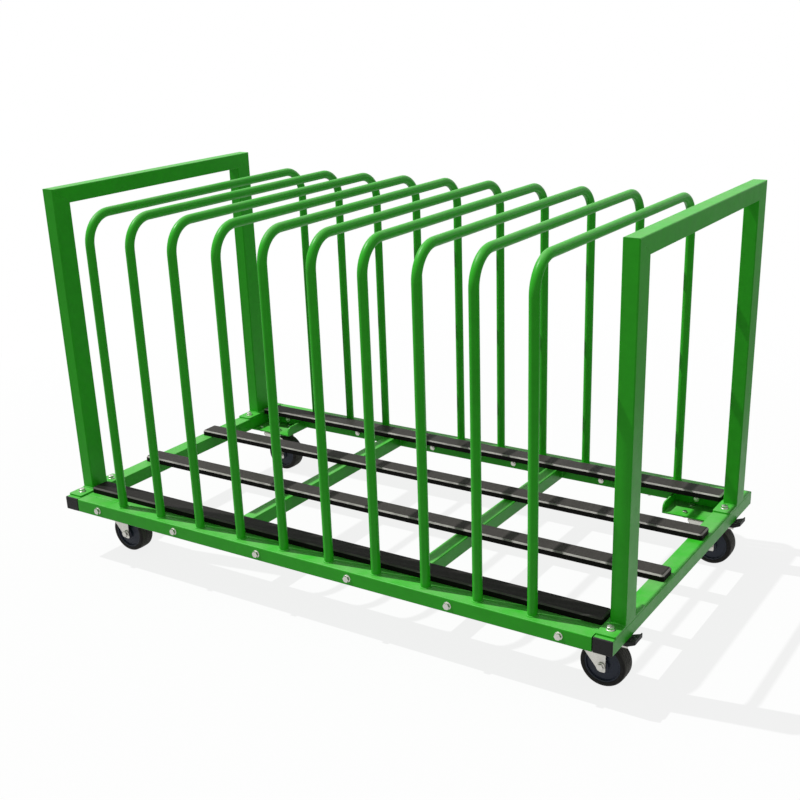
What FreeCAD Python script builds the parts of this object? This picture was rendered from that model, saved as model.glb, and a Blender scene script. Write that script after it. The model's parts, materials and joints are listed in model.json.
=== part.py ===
import FreeCAD, Part
import math
import os
import re
import Sketcher

# A long trolley on four swivel casters, with hoops that divide it into bays for sheets and shelf boards.
# X runs along the trolley, Y across it with the front at -Y, and Z up from the floor. Sizes are millimetres.

HOOPS = 10
RAIL_BOLTS = 6
# How closely an edge is told by its place.
NEAR = 1e-4
SIDES = (("left", -1), ("right", 1))
FACES = (("front", -1), ("rear", 1))

SIZES = (
    ("base_length", 1780, "outer face to outer face of the end beams"),
    ("base_depth", 1000, "outer face to outer face of the hoop rails"),
    ("tube_height", 40, "height of every base tube"),
    ("tube_wall", 2, "wall of every square tube"),
    ("tube_round", 3, "outer corner radius of every square tube"),
    ("beam_width", 50, "end beam along X"),
    ("rail_width", 40, "hoop rail or inner rail along Y"),
    ("rail_end_gap", 2, "slit between a hoop rail's end and the end beam"),
    ("member_width", 40, "cross member along X"),
    ("member_offset", 300, "cross member's middle from the trolley's middle"),
    ("plug_head", 4, "thickness of an end plug's head"),
    ("plug_depth", 20, "how far an end plug reaches into its beam"),
    ("plug_play", 0.1, "gap around an end plug in its beam"),
    ("plug_round", 2.5, "rounding of an end plug's head"),
    ("post_depth", 60, "end frame post in the frame's plane"),
    ("post_width", 40, "end frame post and top bar along X"),
    ("bar_height", 45, "end frame's top bar"),
    ("post_setback", 75, "post's outer face in from the hoop rails' outer face"),
    ("frame_rise", 905, "end frame's top above the base tubes"),
    ("mitre_gap", 0.2, "each tube's share of the seam at a mitred corner"),
    ("foot_thick", 5, "foot plate"),
    ("foot_overhang", 60, "foot plate beyond its post on each side"),
    ("foot_bolt_inset", 30, "foot bolt from the foot plate's end"),
    ("foot_round", 5, "corner radius of a foot plate"),
    ("hoop_tube", 25, "outer diameter of a hoop's tube"),
    ("hoop_wall", 1.5, "wall of a hoop's tube"),
    ("hoop_rise", 852, "hoop's top centre line above the base tubes"),
    ("hoop_bend", 80, "bend radius of a hoop's centre line"),
    ("hoop_inset", 27, "hoop leg's centre in from the hoop rail's outer face"),
    ("hoop_end_bay", 217, "outermost hoop from the end beam's outer face"),
    ("runner_width", 60, "runner along Y"),
    ("runner_height", 18, "runner above the base tubes"),
    ("runner_bevel", 4, "bevel around a runner's top"),
    ("runner_corner", 7, "corner radius of a runner in plan"),
    ("runner_inset", 60, "outer runner's edge in from the hoop rails' outer face"),
    ("runner_offset", 137, "inner runner's middle from the trolley's middle"),
    ("runner_beam_inset", 10, "inner runner's end in from the end beam's outer face"),
    ("runner_end_gap", 3, "outer runner's end short of the end beam"),
    ("bolt_thread", 10, "rail, foot and axle bolts"),
    ("bolt_flats", 16, "across the flats of those bolts and their nuts"),
    ("bolt_head", 6.5, "height of those bolts' hexagons"),
    ("bolt_flange", 21, "diameter of the flange under those bolts' hexagons"),
    ("bolt_flange_thick", 2, "thickness of that flange"),
    ("bolt_nut", 8.4, "height of their nuts"),
    ("bolt_tail", 2, "thread that shows beyond a nut"),
    ("bolt_play", 0.5, "gap around a bolt in its hole"),
    ("thread_play", 0.05, "gap around a thread in its nut"),
    ("rail_bolt_inset", 83, "outermost rail bolt from the hoop rail's end"),
    ("screw_thread", 6, "runner screws"),
    ("screw_flats", 10, "across the flats of a runner screw"),
    ("screw_head", 4, "height of a runner screw's head"),
    ("screw_bite", 12, "how far a runner screw reaches into its runner"),
    ("stud_thread", 8, "caster bolts"),
    ("stud_flats", 13, "across the flats of a caster bolt and its nut"),
    ("stud_head", 5.3, "height of a caster bolt's head"),
    ("stud_nut", 6.5, "height of a caster bolt's nut"),
    ("stud_tail", 1.5, "caster bolt beyond its nut"),
    ("stud_spacing_x", 80, "caster bolts along X"),
    ("stud_spacing_y", 60, "caster bolts along Y"),
    ("stud_beam_clear", 15, "caster bolt's axis from the end beam's inner face"),
    ("stud_rail_clear", 10, "caster bolt's axis from the inner rail's inner face"),
    ("mount_thick", 4, "folded corner plate that carries a caster"),
    ("mount_reach", 100, "corner plate inboard of the caster's swivel axis, along X"),
    ("mount_side", 55, "corner plate inboard of the caster's swivel axis, along Y"),
    ("mount_lap", 10, "corner plate's lap under the end beam and the inner rail"),
    ("mount_flange", 28, "upturned edge of a corner plate"),
    ("mount_curve", 18, "rounded corner of that edge"),
    ("plate_thick", 3.5, "caster's top plate"),
    ("plate_edge", 12.5, "top plate beyond its bolt holes"),
    ("plate_corner", 8, "corner radius of a top plate"),
    ("kingpin", 12, "diameter of the pin that a caster swivels on"),
    ("kingpin_head", 22, "diameter of its head under the fork"),
    ("kingpin_head_thick", 4, "thickness of that head"),
    ("running_play", 0.05, "gap around every pin and axle that something turns on"),
    ("race_diameter", 48, "ball race ring under a top plate"),
    ("race_height", 9, "height of a ball race ring"),
    ("race_play", 0.5, "ball race ring clear of its kingpin"),
    ("swivel_gap", 0.3, "running gap above and below a fork's crown"),
    ("wheel_diameter", 120, "over the tyre"),
    ("tyre_width", 48, "tyre along its axle"),
    ("tyre_depth", 13, "tyre from its rim to its tread"),
    ("tyre_shoulder", 7, "rounding of a tyre's shoulders"),
    ("rim_inset", 1.5, "rim's edge in from the tyre's side"),
    ("rim_depth", 3, "thickness of a hub's rim"),
    ("web_width", 36, "web between a hub's rim and its barrel"),
    ("barrel_diameter", 34, "hub's barrel"),
    ("hub_play", 0.5, "hub's barrel from the fork on each side"),
    ("sleeve_diameter", 15, "spacer sleeve that a hub turns on"),
    ("fork_trail", 40, "axle behind the swivel axis"),
    ("fork_gap", 57, "between a fork's cheeks"),
    ("fork_sheet", 3.5, "thickness of a fork's cheeks"),
    ("fork_head", 30, "half of a fork's crown along X"),
    ("fork_skirt", 6, "height of a fork's leading edge"),
    ("fork_toe", 4, "cheek's lower end ahead of the axle"),
    ("fork_heel", 12, "cheek behind the axle"),
    ("fork_drop", 15, "cheek below the axle"),
    ("fork_round", 5, "rounding of a cheek's lower corners"),
    ("fork_fold", 3, "outer rounding where a fork's cheeks meet its crown"),
    ("crown_gap", 7, "tyre's top to the underside of a fork's crown"),
    ("crown_thick", 4, "fork's crown"),
    ("ear_reach", 7, "ear around a brake's pivot"),
    ("ear_round", 3.5, "rounding of an ear's outer corners"),
    ("brake_nose", 12, "brake's cam nose from its pivot"),
    ("brake_nose_width", 6, "thickness of that nose"),
    ("nose_flat", 0.25, "flat that is left at the tip of that nose"),
    ("brake_gap", 0.4, "cam nose from the tyre when the brake is on"),
    ("brake_width", 38, "brake's barrel and lever along its pivot"),
    ("brake_barrel", 12, "diameter of that barrel"),
    ("brake_pin", 6, "diameter of the pivot pins"),
    ("brake_pin_tail", 1.5, "pivot pin beyond each ear"),
    ("lever_reach", 27, "brake's folded lever from its pivot"),
    ("lever_rise", 2.2, "top of that lever above its pivot"),
    ("lever_drop", 4, "lower edges of that lever below its pivot"),
    ("lever_sheet", 2.5, "sheet that the lever is folded from"),
    ("tongue_length", 28, "brake's steel tongue from its pivot"),
    ("tongue_width", 18, "tongue along the pivot"),
    ("tongue_thick", 3, "tongue"),
    ("tongue_lift", 5.75, "middle of the tongue above its pivot"),
    ("tongue_play", 0.1, "gap around the tongue in its pedal"),
    ("pedal_start", 14, "pedal's near end from the pivot"),
    ("pedal_reach", 47, "pedal's far end from the pivot"),
    ("pedal_width", 46, "pedal along the pivot"),
    ("pedal_gap", 0.3, "pedal's underside above the lever"),
    ("tread_start", 9, "near end of a pedal's tread above its pivot"),
    ("tread_end", 18.5, "far end of a pedal's tread above its pivot"),
    ("toe_low", 11.5, "lower edge of a pedal's far end above its pivot"),
    ("toe_top", 22.5, "top of a pedal's upturned far end above its pivot"),
    ("lip_thick", 3, "upturned end at its top"),
    ("lip_slope", 3, "how far that end leans outwards over its height"),
    ("pedal_round", 2.5, "rounding of a pedal's ends"),
)

# A brake's pivot lies on a line from the axle that leans 8 along for 15 up, so 17 along the line.
# The origin is in the middle of the whole trolley's box, so the frame sits half the pedals' overhang off it.
DERIVED = (
    ("half_length", "base_length / 2"),
    ("half_depth", "base_depth / 2"),
    ("beam_x", "half_length - beam_width / 2"),
    ("beam_inner_x", "half_length - beam_width"),
    ("rail_y", "half_depth - rail_width / 2"),
    ("inner_rail_y", "half_depth - 3 * rail_width / 2"),
    ("inner_face_y", "half_depth - 2 * rail_width"),
    ("rail_half", "beam_inner_x - rail_end_gap"),
    ("rail_bolt_end", "rail_half - rail_bolt_inset"),
    ("rail_bolt_pitch", f"2 * rail_bolt_end / ({RAIL_BOLTS} - 1)"),
    ("wheel_radius", "wheel_diameter / 2"),
    ("crown_low", "wheel_diameter + crown_gap"),
    ("crown_top", "crown_low + crown_thick"),
    ("plate_low", "crown_top + swivel_gap + race_height"),
    ("caster_top", "plate_low + plate_thick"),
    ("base_low", "caster_top + mount_thick"),
    ("base_mid", "base_low + tube_height / 2"),
    ("base_top", "base_low + tube_height"),
    ("frame_top", "base_top + frame_rise"),
    ("post_y", "half_depth - post_setback - post_depth / 2"),
    ("post_x", "half_length - post_width / 2"),
    ("post_low", "base_top + foot_thick"),
    ("post_height", "frame_top - post_low"),
    ("foot_length", "post_depth + 2 * foot_overhang"),
    ("foot_bolt_offset", "foot_length / 2 - foot_bolt_inset"),
    ("hoop_y", "half_depth - hoop_inset"),
    ("hoop_end", "half_length - hoop_end_bay"),
    ("hoop_pitch", f"2 * hoop_end / ({HOOPS} - 1)"),
    ("outer_runner_y", "half_depth - runner_inset - runner_width / 2"),
    ("outer_runner_half", "beam_inner_x - runner_end_gap"),
    ("outer_screw_y", "(half_depth - runner_inset + inner_face_y) / 2"),
    ("inner_runner_half", "half_length - runner_beam_inset"),
    ("caster_x", "beam_inner_x - stud_beam_clear - stud_spacing_x / 2"),
    ("caster_y", "inner_face_y - stud_rail_clear - stud_spacing_y / 2"),
    ("rim_radius", "wheel_radius - tyre_depth"),
    ("fork_half", "fork_gap / 2 + fork_sheet"),
    ("pivot_reach", "wheel_radius + brake_nose + brake_gap"),
    ("pivot_x", "fork_trail + pivot_reach * 8 / 17"),
    ("pivot_z", "wheel_radius + pivot_reach * 15 / 17"),
    ("pedal_tip_x", "caster_x + pivot_x + pedal_reach"),
    ("middle_x", "(half_length - max(half_length; pedal_tip_x)) / 2"),
)

doc = FreeCAD.newDocument("ShelfTrolley")
sheet = doc.addObject("Spreadsheet::Sheet", "Sizes")
nodes = []


def fill_sheet():
    """Write the driving sizes as plain numbers, then the values worked out from them."""
    rows = [(name, str(value), note) for name, value, note in SIZES]
    rows += [(name, f"={text}", "worked out") for name, text in DERIVED]
    for row, (name, content, note) in enumerate(rows, start=1):
        sheet.set(f"A{row}", name)
        sheet.set(f"B{row}", content)
        sheet.setAlias(f"B{row}", name)
        sheet.set(f"C{row}", note)
    doc.recompute()


NAMES = {row[0] for row in SIZES + DERIVED}


def formula(text):
    """Spell a formula over the sheet's names as an expression of another object."""
    return re.sub(r"[a-z_]+", lambda word: f"Sizes.{word[0]}" if word[0] in NAMES else word[0], str(text))


def number(text):
    """Value of a formula."""
    return float(sheet.evalExpression(formula(text)))


def vector(x, y, z):
    return FreeCAD.Vector(number(x), number(y), number(z))


def node(item):
    """Keep an object as one of the trolley's pieces."""
    nodes.append(item)
    return item


def place(item, x, y, z):
    """Bind an object's place to formulas, from the middle of the frame on the floor."""
    item.setExpression("Placement.Base.x", formula(f"middle_x + {x}"))
    item.setExpression("Placement.Base.y", formula(y))
    item.setExpression("Placement.Base.z", formula(z))
    return item


def new_body(label):
    body = doc.addObject("PartDesign::Body", label)
    body.Label = label
    return body


def new_sketch(body, role, lift="0"):
    """Sketch on one of the body's own origin planes, lifted along the plane's normal."""
    sketch = body.newObject("Sketcher::SketchObject", f"{body.Label}_sketch")
    plane = next(item for item in body.Origin.OriginFeatures if item.Role == role)
    sketch.AttachmentSupport = (plane, [""])
    sketch.MapMode = "FlatFace"
    sketch.setExpression("AttachmentOffset.Base.z", formula(lift))
    return sketch


def pin_point(sketch, curve, point, x, y):
    """Hold a point of a sketch at two formulas."""
    for kind, text in (("DistanceX", x), ("DistanceY", y)):
        constraint = Sketcher.Constraint(kind, -1, 1, curve, point, number(text))
        index = sketch.addConstraint(constraint)
        sketch.setExpression(f"Constraints[{index}]", formula(text))


def draw_outline(sketch, points):
    """Closed outline of straight lines through points that are pairs of formulas."""
    corners = [vector(x, y, 0) for x, y in points]
    first = sketch.GeometryCount
    for start, end in zip(corners, corners[1:] + corners[:1]):
        sketch.addGeometry(Part.LineSegment(start, end), False)
    for step, (x, y) in enumerate(points):
        before = first + (step - 1) % len(points)
        sketch.addConstraint(Sketcher.Constraint("Coincident", before, 2, first + step, 1))
        pin_point(sketch, first + step, 1, x, y)
    return sketch


def draw_rectangle(sketch, x_low, y_low, x_high, y_high):
    return draw_outline(sketch, ((x_low, y_low), (x_high, y_low), (x_high, y_high), (x_low, y_high)))


def draw_centred(sketch, width, height):
    return draw_rectangle(sketch, f"-({width}) / 2", f"-({height}) / 2", f"({width}) / 2", f"({height}) / 2")


def draw_circle(sketch, x, y, radius):
    circle = Part.Circle(vector(x, y, 0), FreeCAD.Vector(0, 0, 1), number(radius))
    curve = sketch.addGeometry(circle, False)
    pin_point(sketch, curve, 3, x, y)
    index = sketch.addConstraint(Sketcher.Constraint("Radius", curve, number(radius)))
    sketch.setExpression(f"Constraints[{index}]", formula(radius))
    return sketch


def draw_hexagon(sketch, flats):
    """Hexagon with two corners on the sketch's X axis."""
    across = f"({flats}) / sqrt(3)"
    half = f"({flats}) / 2"
    return draw_outline(sketch, (
        (across, "0"), (f"{across} / 2", half), (f"-{across} / 2", half),
        (f"-{across}", "0"), (f"-{across} / 2", f"-{half}"), (f"{across} / 2", f"-{half}")))


def pad(body, sketch, length, side="Symmetric", down=False):
    feature = body.newObject("PartDesign::Pad", f"{body.Label}_pad")
    feature.Profile = sketch
    feature.SideType = side
    feature.Reversed = down
    feature.setExpression("Length", formula(length))
    doc.recompute()
    return feature


def pocket(body, sketch, length=None, side="Symmetric", up=False):
    """Cut a sketch out of the body, right through unless a length is given, and make sure that it cuts."""
    before = body.Shape.Volume
    feature = body.newObject("PartDesign::Pocket", f"{body.Label}_pocket")
    feature.Profile = sketch
    feature.SideType = side
    feature.Reversed = up
    if length is None:
        feature.Type = "ThroughAll"
    else:
        feature.setExpression("Length", formula(length))
    doc.recompute()
    if not body.Shape.Volume < before:
        raise RuntimeError(f"{body.Label}: a pocket cuts nothing")
    return feature


def drill(body, role, points, radius, reach=None):
    """Round holes square to one of the body's origin planes, right through or that far up from it."""
    sketch = new_sketch(body, role)
    for x, y in points:
        draw_circle(sketch, x, y, radius)
    if reach is None:
        return pocket(body, sketch)
    return pocket(body, sketch, reach, "One side", up=True)


def dress(body, kind, size, wanted):
    """Fillet or chamfer the edges of the body's tip that a test picks."""
    tip = body.Tip
    edges = [f"Edge{index}" for index, edge in enumerate(tip.Shape.Edges, start=1) if wanted(edge)]
    feature = body.newObject(f"PartDesign::{kind}", f"{body.Label}_{kind.lower()}")
    feature.Base = (tip, edges)
    feature.setExpression("Radius" if kind == "Fillet" else "Size", formula(size))
    doc.recompute()
    return feature


def runs_along(axis):
    """Test for straight edges along X, Y or Z."""
    direction = FreeCAD.Vector(*(float(axis == name) for name in "XYZ"))

    def wanted(edge):
        straight = edge.Curve.TypeId == "Part::GeomLine"
        return straight and abs(abs(edge.tangentAt(edge.FirstParameter).dot(direction)) - 1) < NEAR
    return wanted


def lies_at(**places):
    """Test for edges whose middle has the given coordinates."""
    def wanted(edge):
        middle = edge.BoundBox.Center
        return all(abs(getattr(middle, name) - value) < NEAR for name, value in places.items())
    return wanted


def lies_off(axis, distance):
    """Test for edges whose middle lies that far from the body's origin along an axis, either way."""
    return lambda edge: abs(abs(getattr(edge.BoundBox.Center, axis)) - distance) < NEAR


def every(*tests):
    return lambda edge: all(test(edge) for test in tests)


def turned(label, role, axis, points):
    """Body turned from an outline about the sketch's horizontal or vertical axis."""
    body = new_body(label)
    sketch = draw_outline(new_sketch(body, role), points)
    feature = body.newObject("PartDesign::Revolution", f"{label}_turn")
    feature.Profile = sketch
    feature.ReferenceAxis = (sketch, [axis])
    feature.Angle = 360
    doc.recompute()
    return body


def group(label, shapes):
    """Separate solids that share one node."""
    feature = doc.addObject("Part::Feature", label)
    feature.Label = label
    feature.Shape = Part.makeCompound(shapes)
    return node(feature)


def copy_of(master, x, y, z, rotation=FreeCAD.Rotation()):
    """Copy of a master piece, from the middle of the frame on the floor."""
    shape = master.Shape.copy()
    shape.Placement = FreeCAD.Placement(vector(f"middle_x + {x}", y, z), rotation)
    return shape


def corners():
    """Name and the signs of X and Y of each corner of the base."""
    return [(f"{side}_{face}", sx, sy) for side, sx in SIDES for face, sy in FACES]


PLANES = {"X": "YZ_Plane", "Y": "XZ_Plane", "Z": "XY_Plane"}


def square_tube(label, axis, width, height, length, side="Symmetric"):
    """Hollow tube along an axis, around the body's origin."""
    body = new_body(label)
    sketch = new_sketch(body, PLANES[axis])
    draw_centred(sketch, width, height)
    draw_centred(sketch, f"{width} - 2 * tube_wall", f"{height} - 2 * tube_wall")
    pad(body, sketch, length, side)
    outer = lies_off("y" if axis == "Z" else "z", number(height) / 2)
    dress(body, "Fillet", "tube_round", every(runs_along(axis), outer))
    return node(body)


def rail_bolt_places():
    return [f"({step} - ({RAIL_BOLTS} - 1) / 2) * rail_bolt_pitch" for step in range(RAIL_BOLTS)]


def outer_screw_places():
    return [f"{step} * rail_bolt_pitch" for step in (-2, -1, 1, 2)]


def make_base():
    """End beams, rails and cross members, with the holes for what is bolted through them."""
    bolt_hole = "bolt_thread / 2 + bolt_play"
    screw_hole = "screw_thread / 2 + thread_play"
    foot_bolts = [f"{sy} * (post_y + {step} * foot_bolt_offset)" for sy in (-1, 1) for step in (-1, 1)]
    inner_screws = [("0", f"{sy} * runner_offset") for sy in (-1, 1)]
    for side, sx in SIDES:
        beam = square_tube(f"end_beam_{side}", "Y", "beam_width", "tube_height", "base_depth - 2 * plug_head")
        drill(beam, "XY_Plane", [("0", y) for y in foot_bolts], bolt_hole, "tube_height")
        drill(beam, "XY_Plane", inner_screws, screw_hole)
        place(beam, f"{sx} * beam_x", "0", "base_mid")
        member = square_tube(f"cross_member_{side}", "Y", "member_width", "tube_height", "2 * inner_face_y")
        drill(member, "XY_Plane", inner_screws, screw_hole)
        place(member, f"{sx} * member_offset", "0", "base_mid")
    for face, sy in FACES:
        bolts = [(x, "0") for x in rail_bolt_places()]
        outer = square_tube(f"hoop_rail_{face}", "X", "rail_width", "tube_height", "2 * rail_half")
        drill(outer, "XZ_Plane", bolts, bolt_hole)
        place(outer, "0", f"{sy} * rail_y", "base_mid")
        inner = square_tube(f"inner_rail_{face}", "X", "rail_width", "tube_height", "2 * beam_inner_x")
        drill(inner, "XZ_Plane", bolts, bolt_hole)
        screw_y = f"{sy} * (outer_screw_y - inner_rail_y)"
        drill(inner, "XY_Plane", [(x, screw_y) for x in outer_screw_places()], screw_hole)
        place(inner, "0", f"{sy} * inner_rail_y", "base_mid")


def make_plugs():
    """Black plugs that close the end beams."""
    plug = new_body("plug_master")
    head = draw_centred(new_sketch(plug, "XZ_Plane"), "beam_width", "tube_height")
    pad(plug, head, "plug_head", "One side")
    outward = plug.Shape.BoundBox.Center.y
    face_y = plug.Shape.BoundBox.YMin if outward < 0 else plug.Shape.BoundBox.YMax
    dress(plug, "Fillet", "plug_round", lambda edge: runs_along("Y")(edge) or lies_at(y=face_y)(edge))
    spare = "2 * (tube_wall + plug_play)"
    spigot = draw_centred(new_sketch(plug, "XZ_Plane"), f"beam_width - {spare}", f"tube_height - {spare}")
    pad(plug, spigot, "plug_depth", "One side", down=True)
    shapes = []
    for _, sx, sy in corners():
        turn = 0 if sy * outward > 0 else 180
        rotation = FreeCAD.Rotation(FreeCAD.Vector(0, 0, 1), turn)
        y = f"{sy} * (half_depth - plug_head)"
        shapes.append(copy_of(plug, f"{sx} * beam_x", y, "base_mid", rotation))
    group("beam_end_plugs", shapes)


def make_hoops():
    """Bent round tubes that stand on the hoop rails."""
    for step in range(HOOPS):
        body = new_body(f"hoop_{step + 1:02d}")
        spine = new_sketch(body, "YZ_Plane")
        straight = "hoop_rise - hoop_bend"
        shoulder = "hoop_y - hoop_bend"
        runs = ((("-hoop_y", "0"), ("-hoop_y", straight)),
                ((f"-({shoulder})", "hoop_rise"), (shoulder, "hoop_rise")),
                (("hoop_y", straight), ("hoop_y", "0")))
        for start, end in runs:
            curve = spine.addGeometry(Part.LineSegment(vector(*start, 0), vector(*end, 0)), False)
            pin_point(spine, curve, 1, *start)
            pin_point(spine, curve, 2, *end)
        for sign, before, after, first in ((-1, 0, 1, math.pi / 2), (1, 1, 2, 0)):
            centre = vector(f"{sign} * ({shoulder})", straight, 0)
            circle = Part.Circle(centre, FreeCAD.Vector(0, 0, 1), number("hoop_bend"))
            curve = spine.addGeometry(Part.ArcOfCircle(circle, first, first + math.pi / 2), False)
            spine.addConstraint(Sketcher.Constraint("Coincident", curve, 2, before, 2))
            spine.addConstraint(Sketcher.Constraint("Coincident", curve, 1, after, 1))
            index = spine.addConstraint(Sketcher.Constraint("Radius", curve, number("hoop_bend")))
            spine.setExpression(f"Constraints[{index}]", formula("hoop_bend"))
        profile = new_sketch(body, "XY_Plane")
        draw_circle(profile, "0", "-hoop_y", "hoop_tube / 2")
        draw_circle(profile, "0", "-hoop_y", "hoop_tube / 2 - hoop_wall")
        doc.recompute()
        pipe = body.newObject("PartDesign::AdditivePipe", f"{body.Label}_pipe")
        pipe.Profile = profile
        pipe.Spine = (spine, [f"Edge{index}" for index in range(1, len(spine.Shape.Edges) + 1)])
        doc.recompute()
        node(place(body, f"{step} * hoop_pitch - hoop_end", "0", "base_top"))


def make_end_frames():
    """Posts and top bars with mitred corners, and the foot plates under the posts."""
    half = "post_depth / 2"
    low = "-bar_height / 2"
    high = "bar_height / 2"
    outer_y = f"post_y + {half}"
    for side, sx in SIDES:
        for face, sy in FACES:
            post = square_tube(
                f"frame_post_{side}_{face}", "Z", "post_width", "post_depth", "post_height", "One side")
            cut = new_sketch(post, "YZ_Plane")
            draw_outline(cut, (
                (f"{sy} * {half}", "post_height - mitre_gap"),
                (f"-{sy} * {half}", "post_height - bar_height - mitre_gap"),
                (f"-{sy} * {half}", "post_height + bar_height"),
                (f"{sy} * {half}", "post_height + bar_height")))
            pocket(post, cut)
            place(post, f"{sx} * post_x", f"{sy} * post_y", "post_low")
        bar = square_tube(f"frame_top_bar_{side}", "Y", "post_width", "bar_height", f"2 * ({outer_y})")
        for sy in (-1, 1):
            cut = new_sketch(bar, "YZ_Plane")
            draw_outline(cut, (
                (f"{sy} * ({outer_y} - mitre_gap)", high),
                (f"{sy} * ({outer_y} - post_depth - mitre_gap)", low),
                (f"{sy} * ({outer_y} + post_depth)", low),
                (f"{sy} * ({outer_y} + post_depth)", high)))
            pocket(bar, cut)
        place(bar, f"{sx} * post_x", "0", f"frame_top - {high}")
    foot = new_body("foot_plate_master")
    plan = draw_centred(new_sketch(foot, "XY_Plane"), "beam_width", "foot_length")
    pad(foot, plan, "foot_thick", "One side")
    dress(foot, "Fillet", "foot_round", runs_along("Z"))
    bolts = [("0", f"{step} * foot_bolt_offset") for step in (-1, 1)]
    drill(foot, "XY_Plane", bolts, "bolt_thread / 2 + bolt_play")
    spots = [(f"{sx} * beam_x", f"{sy} * post_y") for _, sx, sy in corners()]
    group("foot_plates", [copy_of(foot, x, y, "base_top") for x, y in spots])


def make_runners():
    """Black bevelled strips that the load stands on, screwed on from below."""
    inner_screws = ("-beam_x", "-member_offset", "member_offset", "beam_x")
    rows = (("front", "-outer_runner_y", "outer_runner_half", outer_screw_places(), "-outer_screw_y"),
            ("middle_front", "-runner_offset", "inner_runner_half", inner_screws, "-runner_offset"),
            ("middle_rear", "runner_offset", "inner_runner_half", inner_screws, "runner_offset"),
            ("rear", "outer_runner_y", "outer_runner_half", outer_screw_places(), "outer_screw_y"))
    for name, y, half, screws, screw_y in rows:
        runner = new_body(f"runner_{name}")
        plan = draw_centred(new_sketch(runner, "XY_Plane"), f"2 * {half}", "runner_width")
        pad(runner, plan, "runner_height", "One side")
        dress(runner, "Fillet", "runner_corner", runs_along("Z"))
        dress(runner, "Chamfer", "runner_bevel", lies_at(z=number("runner_height")))
        holes = [(x, f"{screw_y} - ({y})") for x in screws]
        drill(runner, "XY_Plane", holes, "screw_thread / 2 + thread_play", "screw_bite + thread_play")
        node(place(runner, "0", y, "base_top"))


def bolt_master(label, thread, length, flats, head, flange=None, flange_thick="0"):
    """Hexagon bolt along Z, with its seat at the origin and its head upwards."""
    body = new_body(label)
    hexagon = draw_hexagon(new_sketch(body, "XY_Plane", flange_thick), flats)
    pad(body, hexagon, head, "One side")
    if flange:
        disc = draw_circle(new_sketch(body, "XY_Plane"), "0", "0", f"{flange} / 2")
        pad(body, disc, flange_thick, "One side")
    shank = draw_circle(new_sketch(body, "XY_Plane"), "0", "0", f"{thread} / 2")
    pad(body, shank, length, "One side", down=True)
    return body


def nut_master(label, thread, flats, height):
    """Hexagon nut along Z, with its seat at the origin and its body below."""
    body = new_body(label)
    sketch = draw_hexagon(new_sketch(body, "XY_Plane"), flats)
    draw_circle(sketch, "0", "0", f"{thread} / 2 + thread_play")
    pad(body, sketch, height, "One side", down=True)
    return body


def facing(sy):
    """Rotation that turns a bolt's head from up to the front or the rear."""
    return FreeCAD.Rotation(FreeCAD.Vector(1, 0, 0), -90 * sy)


def flange_bolt(label, grip):
    return bolt_master(label, "bolt_thread", f"{grip} + bolt_nut + bolt_tail", "bolt_flats", "bolt_head",
                       "bolt_flange", "bolt_flange_thick")


def make_fasteners():
    """Bolts, nuts and screws, each kind in one node."""
    rail_bolt = flange_bolt("rail_bolt_master", "2 * rail_width")
    foot_bolt = flange_bolt("foot_bolt_master", "foot_thick + tube_wall")
    nut = nut_master("nut_master", "bolt_thread", "bolt_flats", "bolt_nut")
    screw = bolt_master(
        "runner_screw_master", "screw_thread", "tube_height + screw_bite", "screw_flats", "screw_head")
    bolts = []
    nuts = []
    for x in rail_bolt_places():
        for _, sy in FACES:
            bolts.append(copy_of(rail_bolt, x, f"{sy} * half_depth", "base_mid", facing(sy)))
            nuts.append(copy_of(nut, x, f"{sy} * inner_face_y", "base_mid", facing(sy)))
    group("rail_bolts", bolts)
    foot_places = [(f"{sx} * beam_x", f"{sy} * (post_y + {step} * foot_bolt_offset)")
                   for _, sx, sy in corners() for step in (-1, 1)]
    group("foot_bolts", [copy_of(foot_bolt, x, y, "post_low") for x, y in foot_places])
    nuts += [copy_of(nut, x, y, "base_top - tube_wall") for x, y in foot_places]
    group("frame_nuts", nuts)
    upside_down = FreeCAD.Rotation(FreeCAD.Vector(1, 0, 0), 180)
    inner_x = ("-beam_x", "-member_offset", "member_offset", "beam_x")
    screw_places = [(x, f"{sy} * runner_offset") for x in inner_x for sy in (-1, 1)]
    screw_places += [(x, f"{sy} * outer_screw_y") for x in outer_screw_places() for sy in (-1, 1)]
    group("runner_screws", [copy_of(screw, x, y, "base_low", upside_down) for x, y in screw_places])


def stud_points():
    return [(f"{sx} * stud_spacing_x / 2", f"{sy} * stud_spacing_y / 2") for sx in (-1, 1) for sy in (-1, 1)]


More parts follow.
